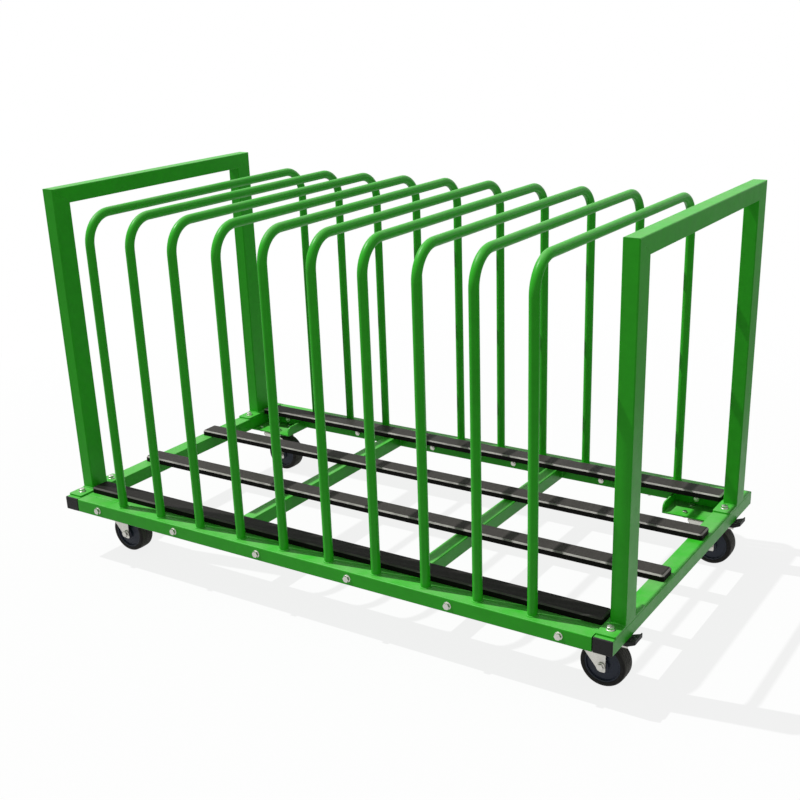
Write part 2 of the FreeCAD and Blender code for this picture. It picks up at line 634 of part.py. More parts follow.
def make_caster_mounts():
    """Folded corner plates, the casters' top plates, and the bolts and nuts that join them."""
    stud_hole = "stud_thread / 2 + bolt_play"
    mount = new_body("mount_plate_master")
    far_x = "beam_inner_x + mount_lap - caster_x"
    far_y = "inner_face_y + mount_lap - caster_y"
    floor = draw_rectangle(new_sketch(mount, "XY_Plane"), "-mount_reach", "-mount_side", far_x, far_y)
    pad(mount, floor, "mount_thick", "One side")
    edge = draw_rectangle(new_sketch(mount, "XY_Plane"), "-mount_reach", "-mount_side",
                          "mount_thick - mount_reach", "inner_face_y - caster_y")
    pad(mount, edge, "mount_thick + mount_flange", "One side")
    top = number("mount_thick + mount_flange")
    dress(mount, "Fillet", "mount_curve", every(runs_along("X"), lies_at(y=-number("mount_side"), z=top)))
    drill(mount, "XY_Plane", stud_points(), stud_hole)
    shapes = []
    for _, sx, sy in corners():
        shape = mount.Shape.copy()
        if sx < 0:
            shape = shape.mirror(FreeCAD.Vector(), FreeCAD.Vector(1, 0, 0))
        if sy < 0:
            shape = shape.mirror(FreeCAD.Vector(), FreeCAD.Vector(0, 1, 0))
        shape.translate(vector(f"middle_x + {sx} * caster_x", f"{sy} * caster_y", "caster_top"))
        shapes.append(shape)
    group("caster_mount_plates", shapes)
    plate = new_body("top_plate_master")
    size = ("stud_spacing_x + 2 * plate_edge", "stud_spacing_y + 2 * plate_edge")
    pad(plate, draw_centred(new_sketch(plate, "XY_Plane"), *size), "plate_thick", "One side")
    dress(plate, "Fillet", "plate_corner", runs_along("Z"))
    drill(plate, "XY_Plane", stud_points(), stud_hole)
    drill(plate, "XY_Plane", [("0", "0")], "kingpin / 2 + running_play")
    stud_length = "mount_thick + plate_thick + stud_nut + stud_tail"
    stud = bolt_master("caster_bolt_master", "stud_thread", stud_length, "stud_flats", "stud_head")
    nut = nut_master("caster_nut_master", "stud_thread", "stud_flats", "stud_nut")
    kingpin = turned("kingpin_master", "XZ_Plane", "V_Axis", (
        ("0", "crown_low - swivel_gap - kingpin_head_thick"),
        ("kingpin_head / 2", "crown_low - swivel_gap - kingpin_head_thick"),
        ("kingpin_head / 2", "crown_low - swivel_gap"), ("kingpin / 2", "crown_low - swivel_gap"),
        ("kingpin / 2", "caster_top"), ("0", "caster_top")))
    race_bore = "kingpin / 2 + race_play"
    race = turned("race_master", "XZ_Plane", "V_Axis", (
        (race_bore, "plate_low - race_height"), ("race_diameter / 2", "plate_low - race_height"),
        ("race_diameter / 2", "plate_low"), (race_bore, "plate_low")))
    spots = [(f"{sx} * caster_x", f"{sy} * caster_y") for _, sx, sy in corners()]
    studs = [(f"{x} + {dx}", f"{y} + {dy}") for x, y in spots for dx, dy in stud_points()]
    group("caster_top_plates", [copy_of(plate, x, y, "plate_low") for x, y in spots])
    group("caster_kingpins", [copy_of(kingpin, x, y, "0") for x, y in spots])
    group("swivel_races", [copy_of(race, x, y, "0") for x, y in spots])
    group("caster_bolts", [copy_of(stud, x, y, "base_low") for x, y in studs])
    group("caster_nuts", [copy_of(nut, x, y, "plate_low") for x, y in studs])


def make_fork(label, braked):
    """Pressed fork around its swivel axis, with ears for the brake's pivot where it has one."""
    body = new_body(label)
    back = "fork_trail + fork_heel"
    low = "wheel_radius - fork_drop"
    pad(body, draw_outline(new_sketch(body, "XZ_Plane"), (
        ("-fork_head", "crown_top"), ("-fork_head", "crown_top - fork_skirt"),
        ("fork_trail - fork_toe", low), (back, low),
        (back, "crown_top - fork_heel"), ("fork_head", "crown_top"))), "2 * fork_half")
    if braked:
        ear_low = "pivot_z - ear_reach"
        ear_top = "pivot_z + ear_reach"
        pad(body, draw_outline(new_sketch(body, "XZ_Plane"), (
            ("fork_head", ear_top), ("fork_trail", ear_low), ("pivot_x + ear_reach", ear_low),
            ("pivot_x + ear_reach", ear_top))), "2 * fork_half")
        dress(body, "Fillet", "ear_round", every(runs_along("Y"), lies_at(x=number("pivot_x + ear_reach"))))
    dress(body, "Fillet", "fork_round", every(runs_along("Y"), lies_at(z=number(low))))
    beyond = "2 * wheel_diameter"
    channel = draw_outline(new_sketch(body, "XZ_Plane"), (
        (f"-{beyond}", f"-{beyond}"), (beyond, f"-{beyond}"), (beyond, beyond), ("fork_head", beyond),
        ("fork_head", "crown_low"), (f"-{beyond}", "crown_low")))
    pocket(body, channel, "fork_gap")
    dress(body, "Fillet", "fork_fold", every(
        runs_along("X"), lies_at(z=number("crown_top")), lies_off("y", number("fork_half"))))
    drill(body, "XZ_Plane", [("fork_trail", "wheel_radius")], "bolt_thread / 2 + running_play")
    if braked:
        drill(body, "XZ_Plane", [("pivot_x", "pivot_z")], "brake_pin / 2 + running_play")
    drill(body, "XY_Plane", [("0", "0")], "kingpin / 2 + running_play")
    return node(body)


def make_hub(label):
    barrel = "fork_gap / 2 - hub_play"
    bore = "sleeve_diameter / 2 + running_play"
    rim = "tyre_width / 2 - rim_inset"
    half = (
        (barrel, bore), (barrel, "barrel_diameter / 2"),
        ("web_width / 2", "barrel_diameter / 2 + rim_depth"), ("web_width / 2", "rim_radius - 2 * rim_depth"),
        (rim, "rim_radius - rim_depth"), (rim, "rim_radius"))
    mirrored = [(f"-({y})", r) for y, r in reversed(half)]
    return node(turned(label, "YZ_Plane", "H_Axis", list(half) + mirrored))


def make_tyre(label):
    side = "tyre_width / 2"
    body = turned(label, "YZ_Plane", "H_Axis", (
        (f"-{side}", "rim_radius"), (side, "rim_radius"),
        (side, "wheel_radius"), (f"-{side}", "wheel_radius")))
    radius = number("wheel_radius")
    dress(body, "Fillet", "tyre_shoulder", every(
        lambda edge: abs(edge.BoundBox.ZMax - radius) < NEAR, lies_off("y", number(side))))
    return node(body)


def make_brake(name):
    """Steel lever with its cam nose and pivot pins, and the plastic pedal pushed over its tongue."""
    shoe = new_body(f"brake_shoe_{name}")
    barrel = draw_circle(new_sketch(shoe, "XZ_Plane"), "pivot_x", "pivot_z", "brake_barrel / 2")
    pad(shoe, barrel, "brake_width")
    pad(shoe, draw_rectangle(
        new_sketch(shoe, "XZ_Plane"), "pivot_x - brake_nose_width / 2", "pivot_z - brake_nose",
        "pivot_x + brake_nose_width / 2", "pivot_z"), "brake_width")
    dress(shoe, "Fillet", "(brake_nose_width - nose_flat) / 2", every(
        runs_along("Y"), lies_at(z=number("pivot_z - brake_nose"))))
    lever_end = "pivot_x + lever_reach"
    pad(shoe, draw_rectangle(
        new_sketch(shoe, "XZ_Plane"), "pivot_x", "pivot_z - lever_drop", lever_end, "pivot_z + lever_rise"),
        "brake_width")
    fold = draw_rectangle(
        new_sketch(shoe, "XZ_Plane"), "pivot_x + brake_barrel / 2", "pivot_z - brake_barrel",
        f"{lever_end} + lever_sheet", "pivot_z + lever_rise - lever_sheet")
    pocket(shoe, fold, "brake_width - 2 * lever_sheet")
    tongue_middle = "pivot_z + tongue_lift"
    pad(shoe, draw_rectangle(
        new_sketch(shoe, "XZ_Plane"), "pivot_x", f"{tongue_middle} - tongue_thick / 2",
        "pivot_x + tongue_length", f"{tongue_middle} + tongue_thick / 2"), "tongue_width")
    pins = draw_circle(new_sketch(shoe, "XZ_Plane"), "pivot_x", "pivot_z", "brake_pin / 2")
    pad(shoe, pins, "2 * (fork_half + brake_pin_tail)")
    pedal = new_body(f"brake_pedal_{name}")
    near = "pivot_x + pedal_start"
    tip = "pivot_x + pedal_reach"
    underside = "pivot_z + lever_rise + pedal_gap"
    pad(pedal, draw_outline(new_sketch(pedal, "XZ_Plane"), (
        (near, underside), (lever_end, underside), (tip, "pivot_z + toe_low"), (tip, "pivot_z + toe_top"),
        (f"{tip} - lip_thick", "pivot_z + toe_top"),
        (f"{tip} - lip_thick - lip_slope", "pivot_z + tread_end"),
        (near, "pivot_z + tread_start"))), "pedal_width")
    dress(pedal, "Fillet", "pedal_round", every(runs_along("Z"), lies_off("y", number("pedal_width / 2"))))
    slot_half = "tongue_thick / 2 + tongue_play"
    slot = draw_rectangle(
        new_sketch(pedal, "XZ_Plane"), "pivot_x", f"{tongue_middle} - ({slot_half})",
        "pivot_x + tongue_length + tongue_play", f"{tongue_middle} + {slot_half}")
    pocket(pedal, slot, "tongue_width + 2 * tongue_play")
    return node(shoe), node(pedal)


def make_casters():
    """Four casters that trail towards +X, with brakes on the two at the right-hand end."""
    cheeks = "2 * fork_half"
    axle = flange_bolt("axle_bolt_master", cheeks)
    nut = nut_master("axle_nut_master", "bolt_thread", "bolt_flats", "bolt_nut")
    bore = "bolt_thread / 2 + running_play"
    sleeve = turned("sleeve_master", "YZ_Plane", "H_Axis", (
        ("-fork_gap / 2", bore), ("fork_gap / 2", bore),
        ("fork_gap / 2", "sleeve_diameter / 2"), ("-fork_gap / 2", "sleeve_diameter / 2")))
    for name, sx, sy in corners():
        x = f"{sx} * caster_x"
        y = f"{sy} * caster_y"
        axle_x = f"{x} + fork_trail"
        braked = sx > 0
        place(make_fork(f"caster_fork_{name}", braked), x, y, "0")
        group(f"caster_axle_{name}", [
            copy_of(axle, axle_x, f"{y} + {sy} * fork_half", "wheel_radius", facing(sy)),
            copy_of(nut, axle_x, f"{y} - {sy} * fork_half", "wheel_radius", facing(sy)),
            copy_of(sleeve, axle_x, y, "wheel_radius")])
        place(make_hub(f"wheel_hub_{name}"), axle_x, y, "wheel_radius")
        place(make_tyre(f"wheel_tyre_{name}"), axle_x, y, "wheel_radius")
        if braked:
            for piece in make_brake(name):
                place(piece, x, y, "0")


def write_nodes():
    """Make sure that everything was computed, then write one file for each piece."""
    doc.recompute()
    for item in doc.Objects:
        if "Invalid" in item.State or "Error" in item.State:
            raise RuntimeError(f"{item.Label}: {item.State}")
    os.makedirs("parts", exist_ok=True)
    for item in nodes:
        shape = item.Shape
        if shape.isNull() or not shape.isValid() or not shape.Solids:
            raise RuntimeError(f"{item.Label}: no valid solid")
    for item in nodes:
        item.Shape.exportStep(f"parts/{item.Label}.step")
    box = Part.makeCompound([item.Shape for item in nodes]).optimalBoundingBox(True, False)
    print(f"{len(nodes)} nodes, X {box.XMin:.2f} to {box.XMax:.2f}, Y {box.YMin:.2f} to {box.YMax:.2f}, "
          f"Z {box.ZMin:.2f} to {box.ZMax:.2f}")


fill_sheet()
make_base()
make_plugs()
make_hoops()
make_end_frames()
make_runners()
make_fasteners()
make_caster_mounts()
make_casters()
write_nodes()
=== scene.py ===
import json
import math
from collections import namedtuple

import bmesh
import bpy
from bpy.props import FloatProperty, FloatVectorProperty, IntProperty, PointerProperty
from mathutils import Matrix, Vector


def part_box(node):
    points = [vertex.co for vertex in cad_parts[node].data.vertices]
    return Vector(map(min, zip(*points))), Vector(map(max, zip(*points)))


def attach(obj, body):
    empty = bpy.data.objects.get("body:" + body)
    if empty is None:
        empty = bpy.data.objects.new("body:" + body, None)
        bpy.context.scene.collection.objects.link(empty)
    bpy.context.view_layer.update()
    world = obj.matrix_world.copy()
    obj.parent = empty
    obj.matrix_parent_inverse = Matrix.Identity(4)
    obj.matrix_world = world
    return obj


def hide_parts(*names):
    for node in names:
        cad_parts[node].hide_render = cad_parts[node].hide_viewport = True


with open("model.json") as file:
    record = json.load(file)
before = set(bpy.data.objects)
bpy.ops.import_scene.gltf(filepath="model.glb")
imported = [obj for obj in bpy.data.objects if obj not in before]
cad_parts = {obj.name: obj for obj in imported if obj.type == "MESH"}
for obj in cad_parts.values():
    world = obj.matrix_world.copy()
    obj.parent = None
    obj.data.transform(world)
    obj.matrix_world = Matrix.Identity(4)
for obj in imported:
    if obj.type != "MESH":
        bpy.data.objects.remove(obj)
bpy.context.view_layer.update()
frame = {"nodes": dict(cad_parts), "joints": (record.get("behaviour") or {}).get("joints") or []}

bl_info = {
    "name": "Shelf trolley",
    "version": (1, 0, 0),
    "blender": (4, 5, 0),
    "location": "3D View > Sidebar > Trolley",
    "description": "Finishes, welds, fasteners and casters of a shelf trolley",
    "category": "Object",
}

# X runs along the trolley, Y across it with the front at -Y, and Z up from the floor. Sizes are metres.
CORNERS = tuple(f"{side}_{face}" for side in ("left", "right") for face in ("front", "rear"))
BRAKED = tuple(corner for corner in CORNERS if corner.startswith("right"))
HOOPS = tuple(sorted(name for name in frame["nodes"] if name.startswith("hoop_") and name[-1].isdigit()))
ANCHORS = {joint["name"]: Vector(joint["pos_m"]) for joint in frame["joints"]}
TURN = 2 * math.pi
# Points closer than this are one point, and faces that turn less than this are one face.
SAME = 1e-6
FLAT = math.radians(0.5)
# An edge that turns more than this is a corner.
CREASE = math.radians(30)
# A face whose normal rises by more than this can be trodden on.
LEVEL = math.cos(math.radians(30))
# Slope of the chamfer on a hexagon's corners, and the share of its half width that stays a round top.
CHAMFER = math.tan(math.radians(30))
CROWN = 0.93
# Rounding of a bolt flange's rim, and the heights of its slope and its rim, as shares of its thickness.
FLANGE_ROUND = 1 / 3
FLANGE_SLOPE = 0.8
FLANGE_RIM = 0.45
# Depth of a thread, and where its root and its crest lie in each turn, as shares of the pitch.
THREAD_DEPTH = 0.5
THREAD_ROOT = 0.5
THREAD_CREST = 0.85
# A weld bead's size at its first steps from each end, as shares of its full size, and how far it stops to
# each side of the middle of a flush face.
BEAD_TAPER = (0.5, 0.85)
BEAD_OPENING = TURN / 7
# A rim's edge in from its tyre's side, and the gap around a pin that something turns on.
RIM_INSET = 0.0015
RUNNING_PLAY = 0.00005
# Steps around a bolt, a weld bead, a ripple of that bead, a rounded corner, a tyre's shoulder and a wheel.
BOLT_STEPS = 36
BEAD_SIDES = 8
RIPPLE_STEPS = 4
CORNER_STEPS = 3
SHOULDER_STEPS = 6
WHEEL_STEPS = 96
# Nearly all of a noise's values lie between these.
NOISE_LOW = 0.3
NOISE_HIGH = 0.7
# How much finer the fine patches of a colour's tone are than the broad ones.
FINE_PATCHES = 9.0

# Thread, its pitch and cut turns, width across flats, head height, flange diameter and thickness, nut height.
Fastener = namedtuple("Fastener", "thread pitch turns flats head flange flange_thick nut")
FLANGE_BOLT = Fastener(0.010, 0.0015, 2, 0.016, 0.0065, 0.021, 0.002, 0.0084)
CASTER_BOLT = Fastener(0.008, 0.00125, 2, 0.013, 0.0053, 0, 0, 0.0065)
RUNNER_SCREW = Fastener(0.006, 0.001, 4, 0.010, 0.004, 0, 0, 0)


# Sizes and colours that a user can change

def length(name, description, default):
    return FloatProperty(name=name, description=description, default=default, min=0, precision=4,
                         subtype="DISTANCE", unit="LENGTH")


def colour(name, description, default):
    return FloatVectorProperty(name=name, description=description, default=default, size=3, min=0, max=1,
                               subtype="COLOR")


def share(name, description, default):
    return FloatProperty(name=name, description=description, default=default, min=0, max=1, subtype="FACTOR")


def angle(name, description, degrees):
    return FloatProperty(name=name, description=description, default=math.radians(degrees),
                         subtype="ANGLE", unit="ROTATION")


class TrolleyFinish(bpy.types.PropertyGroup):
    """Colours of the finishes, how rubbed and dusty they are, and the highlights, sheen and shade painted
    into them.
    """

    paint: colour("Paint", "Green powder coat on the steel frame", (0.034, 0.49, 0.018))
    # The paler green is a highlight painted along the frame's edges, with a little rubbing.
    edge_highlight_paint: colour("Edge highlight paint", "Paler green painted along an edge as a highlight, with a little rubbing", (0.20, 0.60, 0.16))
    zinc: colour("Zinc", "Plated bolts, nuts and forks", (0.56, 0.55, 0.51))
    dull_zinc: colour("Dull zinc", "Plating along a scratch", (0.32, 0.315, 0.29))
    runner: colour("Runner", "Extruded strips under the load", (0.010, 0.0092, 0.0085))
    rubbed: colour("Rubbed runner", "Runner where the load slides on it", (0.060, 0.055, 0.051))
    # Bevel highlight is a highlight painted along the runners' bevels.
    bevel_highlight: colour("Bright edge", "Painted highlight along the runner's bevels", (0.50, 0.48, 0.45))
    # The grey rub colour also paints a highlight on the hub's rim lip.
    grey_rub_and_highlight: colour("Grey rub and highlight", "Moulded plastic rubbed grey, and a highlight painted on the hub's rim lip", (0.14, 0.135, 0.13))
    plastic: colour("Plastic", "Moulded plugs and pedals", (0.016, 0.0165, 0.016))
    hub: colour("Hub", "Moulded wheel hubs", (0.026, 0.033, 0.056))
    rubber: colour("Rubber", "Tyres", (0.014, 0.013, 0.012))
    # The pale dusty colour also paints a sheen on the upward faces of the frame.
    dust_and_sheen: colour("Dust and painted sheen", "Dust that settles on the finishes", (0.56, 0.55, 0.47))
    edge_rub_and_highlight_share: share("Edge rub and highlight", "How much of the edges is paled, by rubbing and by a painted highlight", 0.35)
    # The front runner's darker top is painted shade: it keeps less of the rubbed grey.
    shaded_front_share: share("Front runner's painted shade", "Share of the rubbed grey and bevel highlight that the front runner keeps, to paint its shade", 0.25)
    shaded_front_to: FloatProperty(name="Front runner to", description="Y up to which runners are painted in shade",
                             default=-0.36, subtype="DISTANCE", unit="LENGTH")
    unshaded_from: FloatProperty(name="Other runners from", description="Y from which runners are fully rubbed",
                             default=-0.20, subtype="DISTANCE", unit="LENGTH")
    dust_and_sheen_share: share("Dust and sheen share", "How much dust and painted sheen lie on upward faces", 0.25)


class TrolleySizes(bpy.types.PropertyGroup):
    """Sizes of the details that the frame doesn't give."""

    edge_round: length("Edge rounding", "Rounding of sheared and moulded edges", 0.0006)
    sheet_round: length("Sheet rounding", "Rounding of the edges of forks and brake levers", 0.0003)
    pedal_round: length("Pedal rounding", "Rounding of a pedal's edges", 0.0012)
    bead: length("Weld bead", "Radius of a weld bead", 0.0026)
    bead_pitch: length("Weld ripple", "Spacing of the ripples along a weld bead", 0.004)
    bead_ripple: share("Weld ripple depth", "Depth of the ripples as a share of the bead", 0.13)
    tube_round: length("Tube rounding", "Corner radius of the square tubes", 0.003)
    cheek_rim: length("Cheek rim", "Raised rim around a fork's pressed cheeks", 0.0018)
    cheek_press: length("Cheek pressing", "How deep a fork's cheeks are pressed", 0.0009)
    fork_sheet: length("Fork sheet", "Thickness of a fork's cheeks", 0.0035)
    sleeve: length("Axle sleeve", "Diameter of the sleeve that a hub turns on", 0.015)
    race_bore: length("Race bore", "Diameter of the hole in a swivel race", 0.013)
    race_groove: length("Race groove", "Depth of the groove around a swivel race", 0.0015)
    tyre_shoulder: length("Tyre shoulder", "Rounding of a tyre's shoulders", 0.007)
    tyre_bulge: length("Tyre bulge", "How far a tyre's sidewall stands out from its rim", 0.0014)
    tyre_crown: length("Tyre crown", "How far the tread drops towards its shoulders", 0.0007)
    tread_groove: length("Tread groove", "Width of the grooves around the tread", 0.0012)
    rim_lip: length("Rim lip", "Width of the raised lip around a hub", 0.0036)
    web: length("Hub web", "Thickness of the web between a hub's rim and its barrel", 0.036)
    web_rise: length("Hub cone", "How far the web rises towards the barrel", 0.002)
    rim_cove: length("Rim cove", "Rounded inner corner between a hub's rim and its web", 0.003)
    collar: length("Hub collar", "Width of the step around a hub's barrel", 0.005)
    barrel: length("Hub barrel", "Diameter of a hub's barrel", 0.034)
    grip_rib: length("Pedal rib", "Width of the ribs across a pedal", 0.0018)
    rib_pitch: length("Pedal rib spacing", "Spacing of the ribs across a pedal", 0.0055)
    rib_share: share("Pedal rib length", "Length of the ribs as a share of the pedal's width", 0.72)
    tread_grooves: IntProperty(name="Tread grooves", description="Grooves around the tread", default=4, min=0)
    grip_ribs: IntProperty(name="Pedal ribs", description="Ribs across each pedal", default=4, min=0)


class TrolleyStage(bpy.types.PropertyGroup):
    """Camera, lamp and floor."""

    camera_place: FloatVectorProperty(
        name="Camera place", description="Where the camera stands", default=(1.8119, -2.7290, 1.5778),
        size=3, subtype="TRANSLATION", unit="LENGTH")
    camera_azimuth: angle("Camera azimuth", "Turn of the camera to the right of the front", 33.005)
    camera_elevation: angle("Camera elevation", "How far down the camera looks", 21.375)
    camera_roll: angle("Camera roll", "Turn of the camera about its line of sight", -1.848)
    camera_lens: FloatProperty(name="Lens", description="Focal length in millimetres", default=53.972,
                               unit="CAMERA")
    camera_shift: FloatVectorProperty(
        name="Lens shift", description="Shift of the picture", default=(-0.01875, 0.075), size=2)
    sun_travel: FloatVectorProperty(
        name="Key light", description="Direction in which the key light travels",
        default=(0.53, 0.094, -0.86), size=3, subtype="DIRECTION")
    sun_strength: FloatProperty(name="Key strength", description="Strength of the key light", default=3.1)
    sun_spread: angle("Key spread", "Angle that the key light fills", 0.5)
    sky: share("Sky", "Strength of the light from all around", 0.26)
    floor: share("Floor", "How pale the floor is for the light that it sends back", 0.32)
    floor_seen: share("Floor's look", "How pale the floor is where the camera sees it", 0.85)
    floor_glow: share("Floor glow", "How far the floor is lifted to white for the camera", 0.85)
    mirror_from: length("Mirrored from", "Distance up to which reflections show the floor white", 1.1)
    mirror_to: length("Mirrored to", "Distance from which reflections show the floor unlifted", 2.2)
    floor_reach: length("Floor reach", "Half of the floor's side", 40)
    clear_from: length("Clear from", "Distance at which the floor starts to turn white", 1.6)
    clear_to: length("Clear to", "Distance at which the floor is white", 3.0)


# Shader nodes

def add_node(tree, kind, inputs=None, **settings):
    """New node with its settings, and its inputs set to values or linked to other nodes' sockets."""
    node = tree.nodes.new(kind)
    for name, value in settings.items():
        setattr(node, name, value)
    for key, value in (inputs or {}).items():
        if isinstance(value, bpy.types.NodeSocket):
            tree.links.new(value, node.inputs[key])
        else:
            node.inputs[key].default_value = value
    return node


def calculate(tree, operation, first, second=0.0):
    return add_node(tree, "ShaderNodeMath", {0: first, 1: second}, operation=operation).outputs[0]


def blend(tree, factor, first, second):
    """Mix two colours."""
    node = add_node(tree, "ShaderNodeMix", data_type="RGBA")
    sockets = {socket.identifier: socket for socket in node.inputs}
    for key, value in (("Factor_Float", factor), ("A_Color", first), ("B_Color", second)):
        if isinstance(value, bpy.types.NodeSocket):
            tree.links.new(value, sockets[key])
        else:
            sockets[key].default_value = (*value, 1)
    return next(socket for socket in node.outputs if socket.identifier == "Result_Color")


def remap(tree, value, low, high, to_low=0.0, to_high=1.0):
    """Map a range of values to another one, and hold them there."""
    ranges = {"Value": value, "From Min": low, "From Max": high, "To Min": to_low, "To Max": to_high}
    return add_node(tree, "ShaderNodeMapRange", ranges).outputs["Result"]


def object_place(tree):
    return add_node(tree, "ShaderNodeTexCoord").outputs["Object"]


def noise(tree, scale, detail=3.0, place=None):
    inputs = {"Vector": place or object_place(tree), "Scale": scale, "Detail": detail}
    return add_node(tree, "ShaderNodeTexNoise", inputs).outputs[0]


def wander(tree, scale, low, high):
    """Value that wanders between two limits over the surface."""
    return remap(tree, noise(tree, scale), NOISE_LOW, NOISE_HIGH, low, high)


def new_group(name, inputs, outputs):
    """Shader node group with named sockets. Gives its tree, what it is given and what it gives."""
    tree = bpy.data.node_groups.new(name, "ShaderNodeTree")
    for label, kind, default in inputs:
        tree.interface.new_socket(label, in_out="INPUT", socket_type=kind).default_value = default
    for label, kind in outputs:
        tree.interface.new_socket(label, in_out="OUTPUT", socket_type=kind)
    return tree, add_node(tree, "NodeGroupInput").outputs, add_node(tree, "NodeGroupOutput").inputs


def use_group(tree, name, **inputs):
    """Place a group in a material with its own values, and give the group's output."""
    return add_node(tree, "ShaderNodeGroup", inputs, node_tree=bpy.data.node_groups[name]).outputs[0]


def group_tone_patches():
    """A colour that is a little lighter and darker in broad and in fine patches."""
    tree, given, gives = new_group("Tone patches", (
        ("Colour", "NodeSocketColor", (1, 1, 1, 1)), ("Scale", "NodeSocketFloat", 6.0),
        ("Amount", "NodeSocketFloat", 0.1)), (("Colour", "NodeSocketColor"),))
    fine_scale = calculate(tree, "MULTIPLY", given["Scale"], FINE_PATCHES)
    both = calculate(tree, "ADD", noise(tree, given["Scale"]), noise(tree, fine_scale))
    # Two noises add up to about 1, and stray from it by less than a half.
    swing = calculate(tree, "MULTIPLY", calculate(tree, "SUBTRACT", both, 1.0), given["Amount"])
    level = calculate(tree, "ADD", calculate(tree, "MULTIPLY", swing, 2.0), 1.0)
    scaled = add_node(tree, "ShaderNodeVectorMath", {0: given["Colour"], "Scale": level}, operation="SCALE")
    tree.links.new(scaled.outputs["Vector"], gives["Colour"])


def group_fine_grain():
    """Height of a fine even grain."""
    tree, given, gives = new_group("Fine grain", (
        ("Scale", "NodeSocketFloat", 500.0), ("Detail", "NodeSocketFloat", 2.0)),
        (("Height", "NodeSocketFloat"),))
    tree.links.new(noise(tree, given["Scale"], given["Detail"]), gives["Height"])


def group_long_streaks():
    """Mask of lines and rubs that are drawn out along the axis with the smallest stretch."""
    tree, given, gives = new_group("Long streaks", (
        ("Stretch", "NodeSocketVector", (3, 600, 600)), ("Low", "NodeSocketFloat", 0.5),
        ("High", "NodeSocketFloat", 0.7)), (("Mask", "NodeSocketFloat"),))
    drawn = {0: object_place(tree), 1: given["Stretch"]}
    place = add_node(tree, "ShaderNodeVectorMath", drawn, operation="MULTIPLY").outputs["Vector"]
    lines = noise(tree, scale=1.0, place=place)
    tree.links.new(remap(tree, lines, given["Low"], given["High"]), gives["Mask"])


def group_rubbed_and_highlit_edges():
    """Mask of the outer corners, broken up into patches."""
    tree, given, gives = new_group("Rubbed and highlit edges", (
        ("Width", "NodeSocketFloat", 0.002), ("Amount", "NodeSocketFloat", 0.5)),
        (("Mask", "NodeSocketFloat"),))
    rounded = add_node(tree, "ShaderNodeBevel", {"Radius": given["Width"]}, samples=6).outputs["Normal"]
    true = add_node(tree, "ShaderNodeNewGeometry").outputs["Normal"]
    facing = add_node(tree, "ShaderNodeVectorMath", {0: rounded, 1: true}, operation="DOT_PRODUCT")
    corner = remap(tree, facing.outputs["Value"], low=0.99, high=0.85)
    patches = remap(tree, noise(tree, scale=70.0, detail=5.0), low=0.42, high=0.62)
    mask = calculate(tree, "MULTIPLY", calculate(tree, "MULTIPLY", corner, patches), given["Amount"])
    tree.links.new(mask, gives["Mask"])


def group_facing_up():
    """Mask of the faces that look up, between two heights of their normals."""
    tree, given, gives = new_group("Facing up", (
        ("Low", "NodeSocketFloat", 0.5), ("High", "NodeSocketFloat", 0.98)), (("Mask", "NodeSocketFloat"),))
    normal = add_node(tree, "ShaderNodeNewGeometry").outputs["Normal"]
    height = add_node(tree, "ShaderNodeSeparateXYZ", {0: normal}).outputs["Z"]
    tree.links.new(remap(tree, height, given["Low"], given["High"]), gives["Mask"])


def group_dust_and_sheen():
    """Mask of the dusty upward faces, in soft patches, which also paints a pale sheen on them."""
    tree, given, gives = new_group("Dust and sheen", (("Amount", "NodeSocketFloat", 0.1),),
                                   (("Mask", "NodeSocketFloat"),))
    upward = use_group(tree, "Facing up", Low=0.5, High=0.98)
    patches = remap(tree, noise(tree, scale=14.0, detail=6.0), low=0.30, high=0.75)
    mask = calculate(tree, "MULTIPLY", calculate(tree, "MULTIPLY", upward, patches), given["Amount"])
    tree.links.new(mask, gives["Mask"])


# Finishes, one for each of the record's material slots

def new_finish(name, socket, value):
    """Material with one shader value that is the same all over. Gives its tree and its shader."""
    material = bpy.data.materials.new(name)
    material.use_nodes = True
    tree = material.node_tree
    shader = tree.nodes["Principled BSDF"]
    shader.inputs[socket].default_value = value
    return tree, shader


def feed(tree, shader, tint, roughness, height, depth):
    """Give a shader its colour, its roughness and a bump of a depth in metres."""
    bump = add_node(tree, "ShaderNodeBump", {"Height": height, "Distance": depth, "Strength": 1.0})
    for key, socket in (("Base Color", tint), ("Roughness", roughness), ("Normal", bump.outputs[0])):
        tree.links.new(socket, shader.inputs[key])


def opaque(rgb):
    return (*rgb, 1)


def finish_green_paint(name, finish):
    """Powder coat with an orange-peel skin, paler along its edges from rubbing and a painted highlight, and
    dusty on top with a painted pale sheen.
    """
    tree, shader = new_finish(name, "Specular IOR Level", 0.18)
    tone = use_group(tree, "Tone patches", Colour=opaque(finish.paint), Scale=5.0, Amount=0.10)
    # Paler green along the edges is a painted highlight, with a little rubbing.
    rubbed_and_highlit_edges = use_group(tree, "Rubbed and highlit edges", Width=0.0022, Amount=finish.edge_rub_and_highlight_share)
    # Upward faces get a dusty tone that also paints a pale sheen on them.
    dust_and_sheen = use_group(tree, "Dust and sheen", Amount=finish.dust_and_sheen_share)
    tint = blend(tree, dust_and_sheen, blend(tree, rubbed_and_highlit_edges, tone, finish.edge_highlight_paint), finish.dust_and_sheen)
    roughness = calculate(tree, "ADD", wander(tree, scale=25.0, low=0.30, high=0.38), dust_and_sheen)
    peel = use_group(tree, "Fine grain", Scale=420.0, Detail=2.0)
    feed(tree, shader, tint, roughness, peel, depth=0.00010)


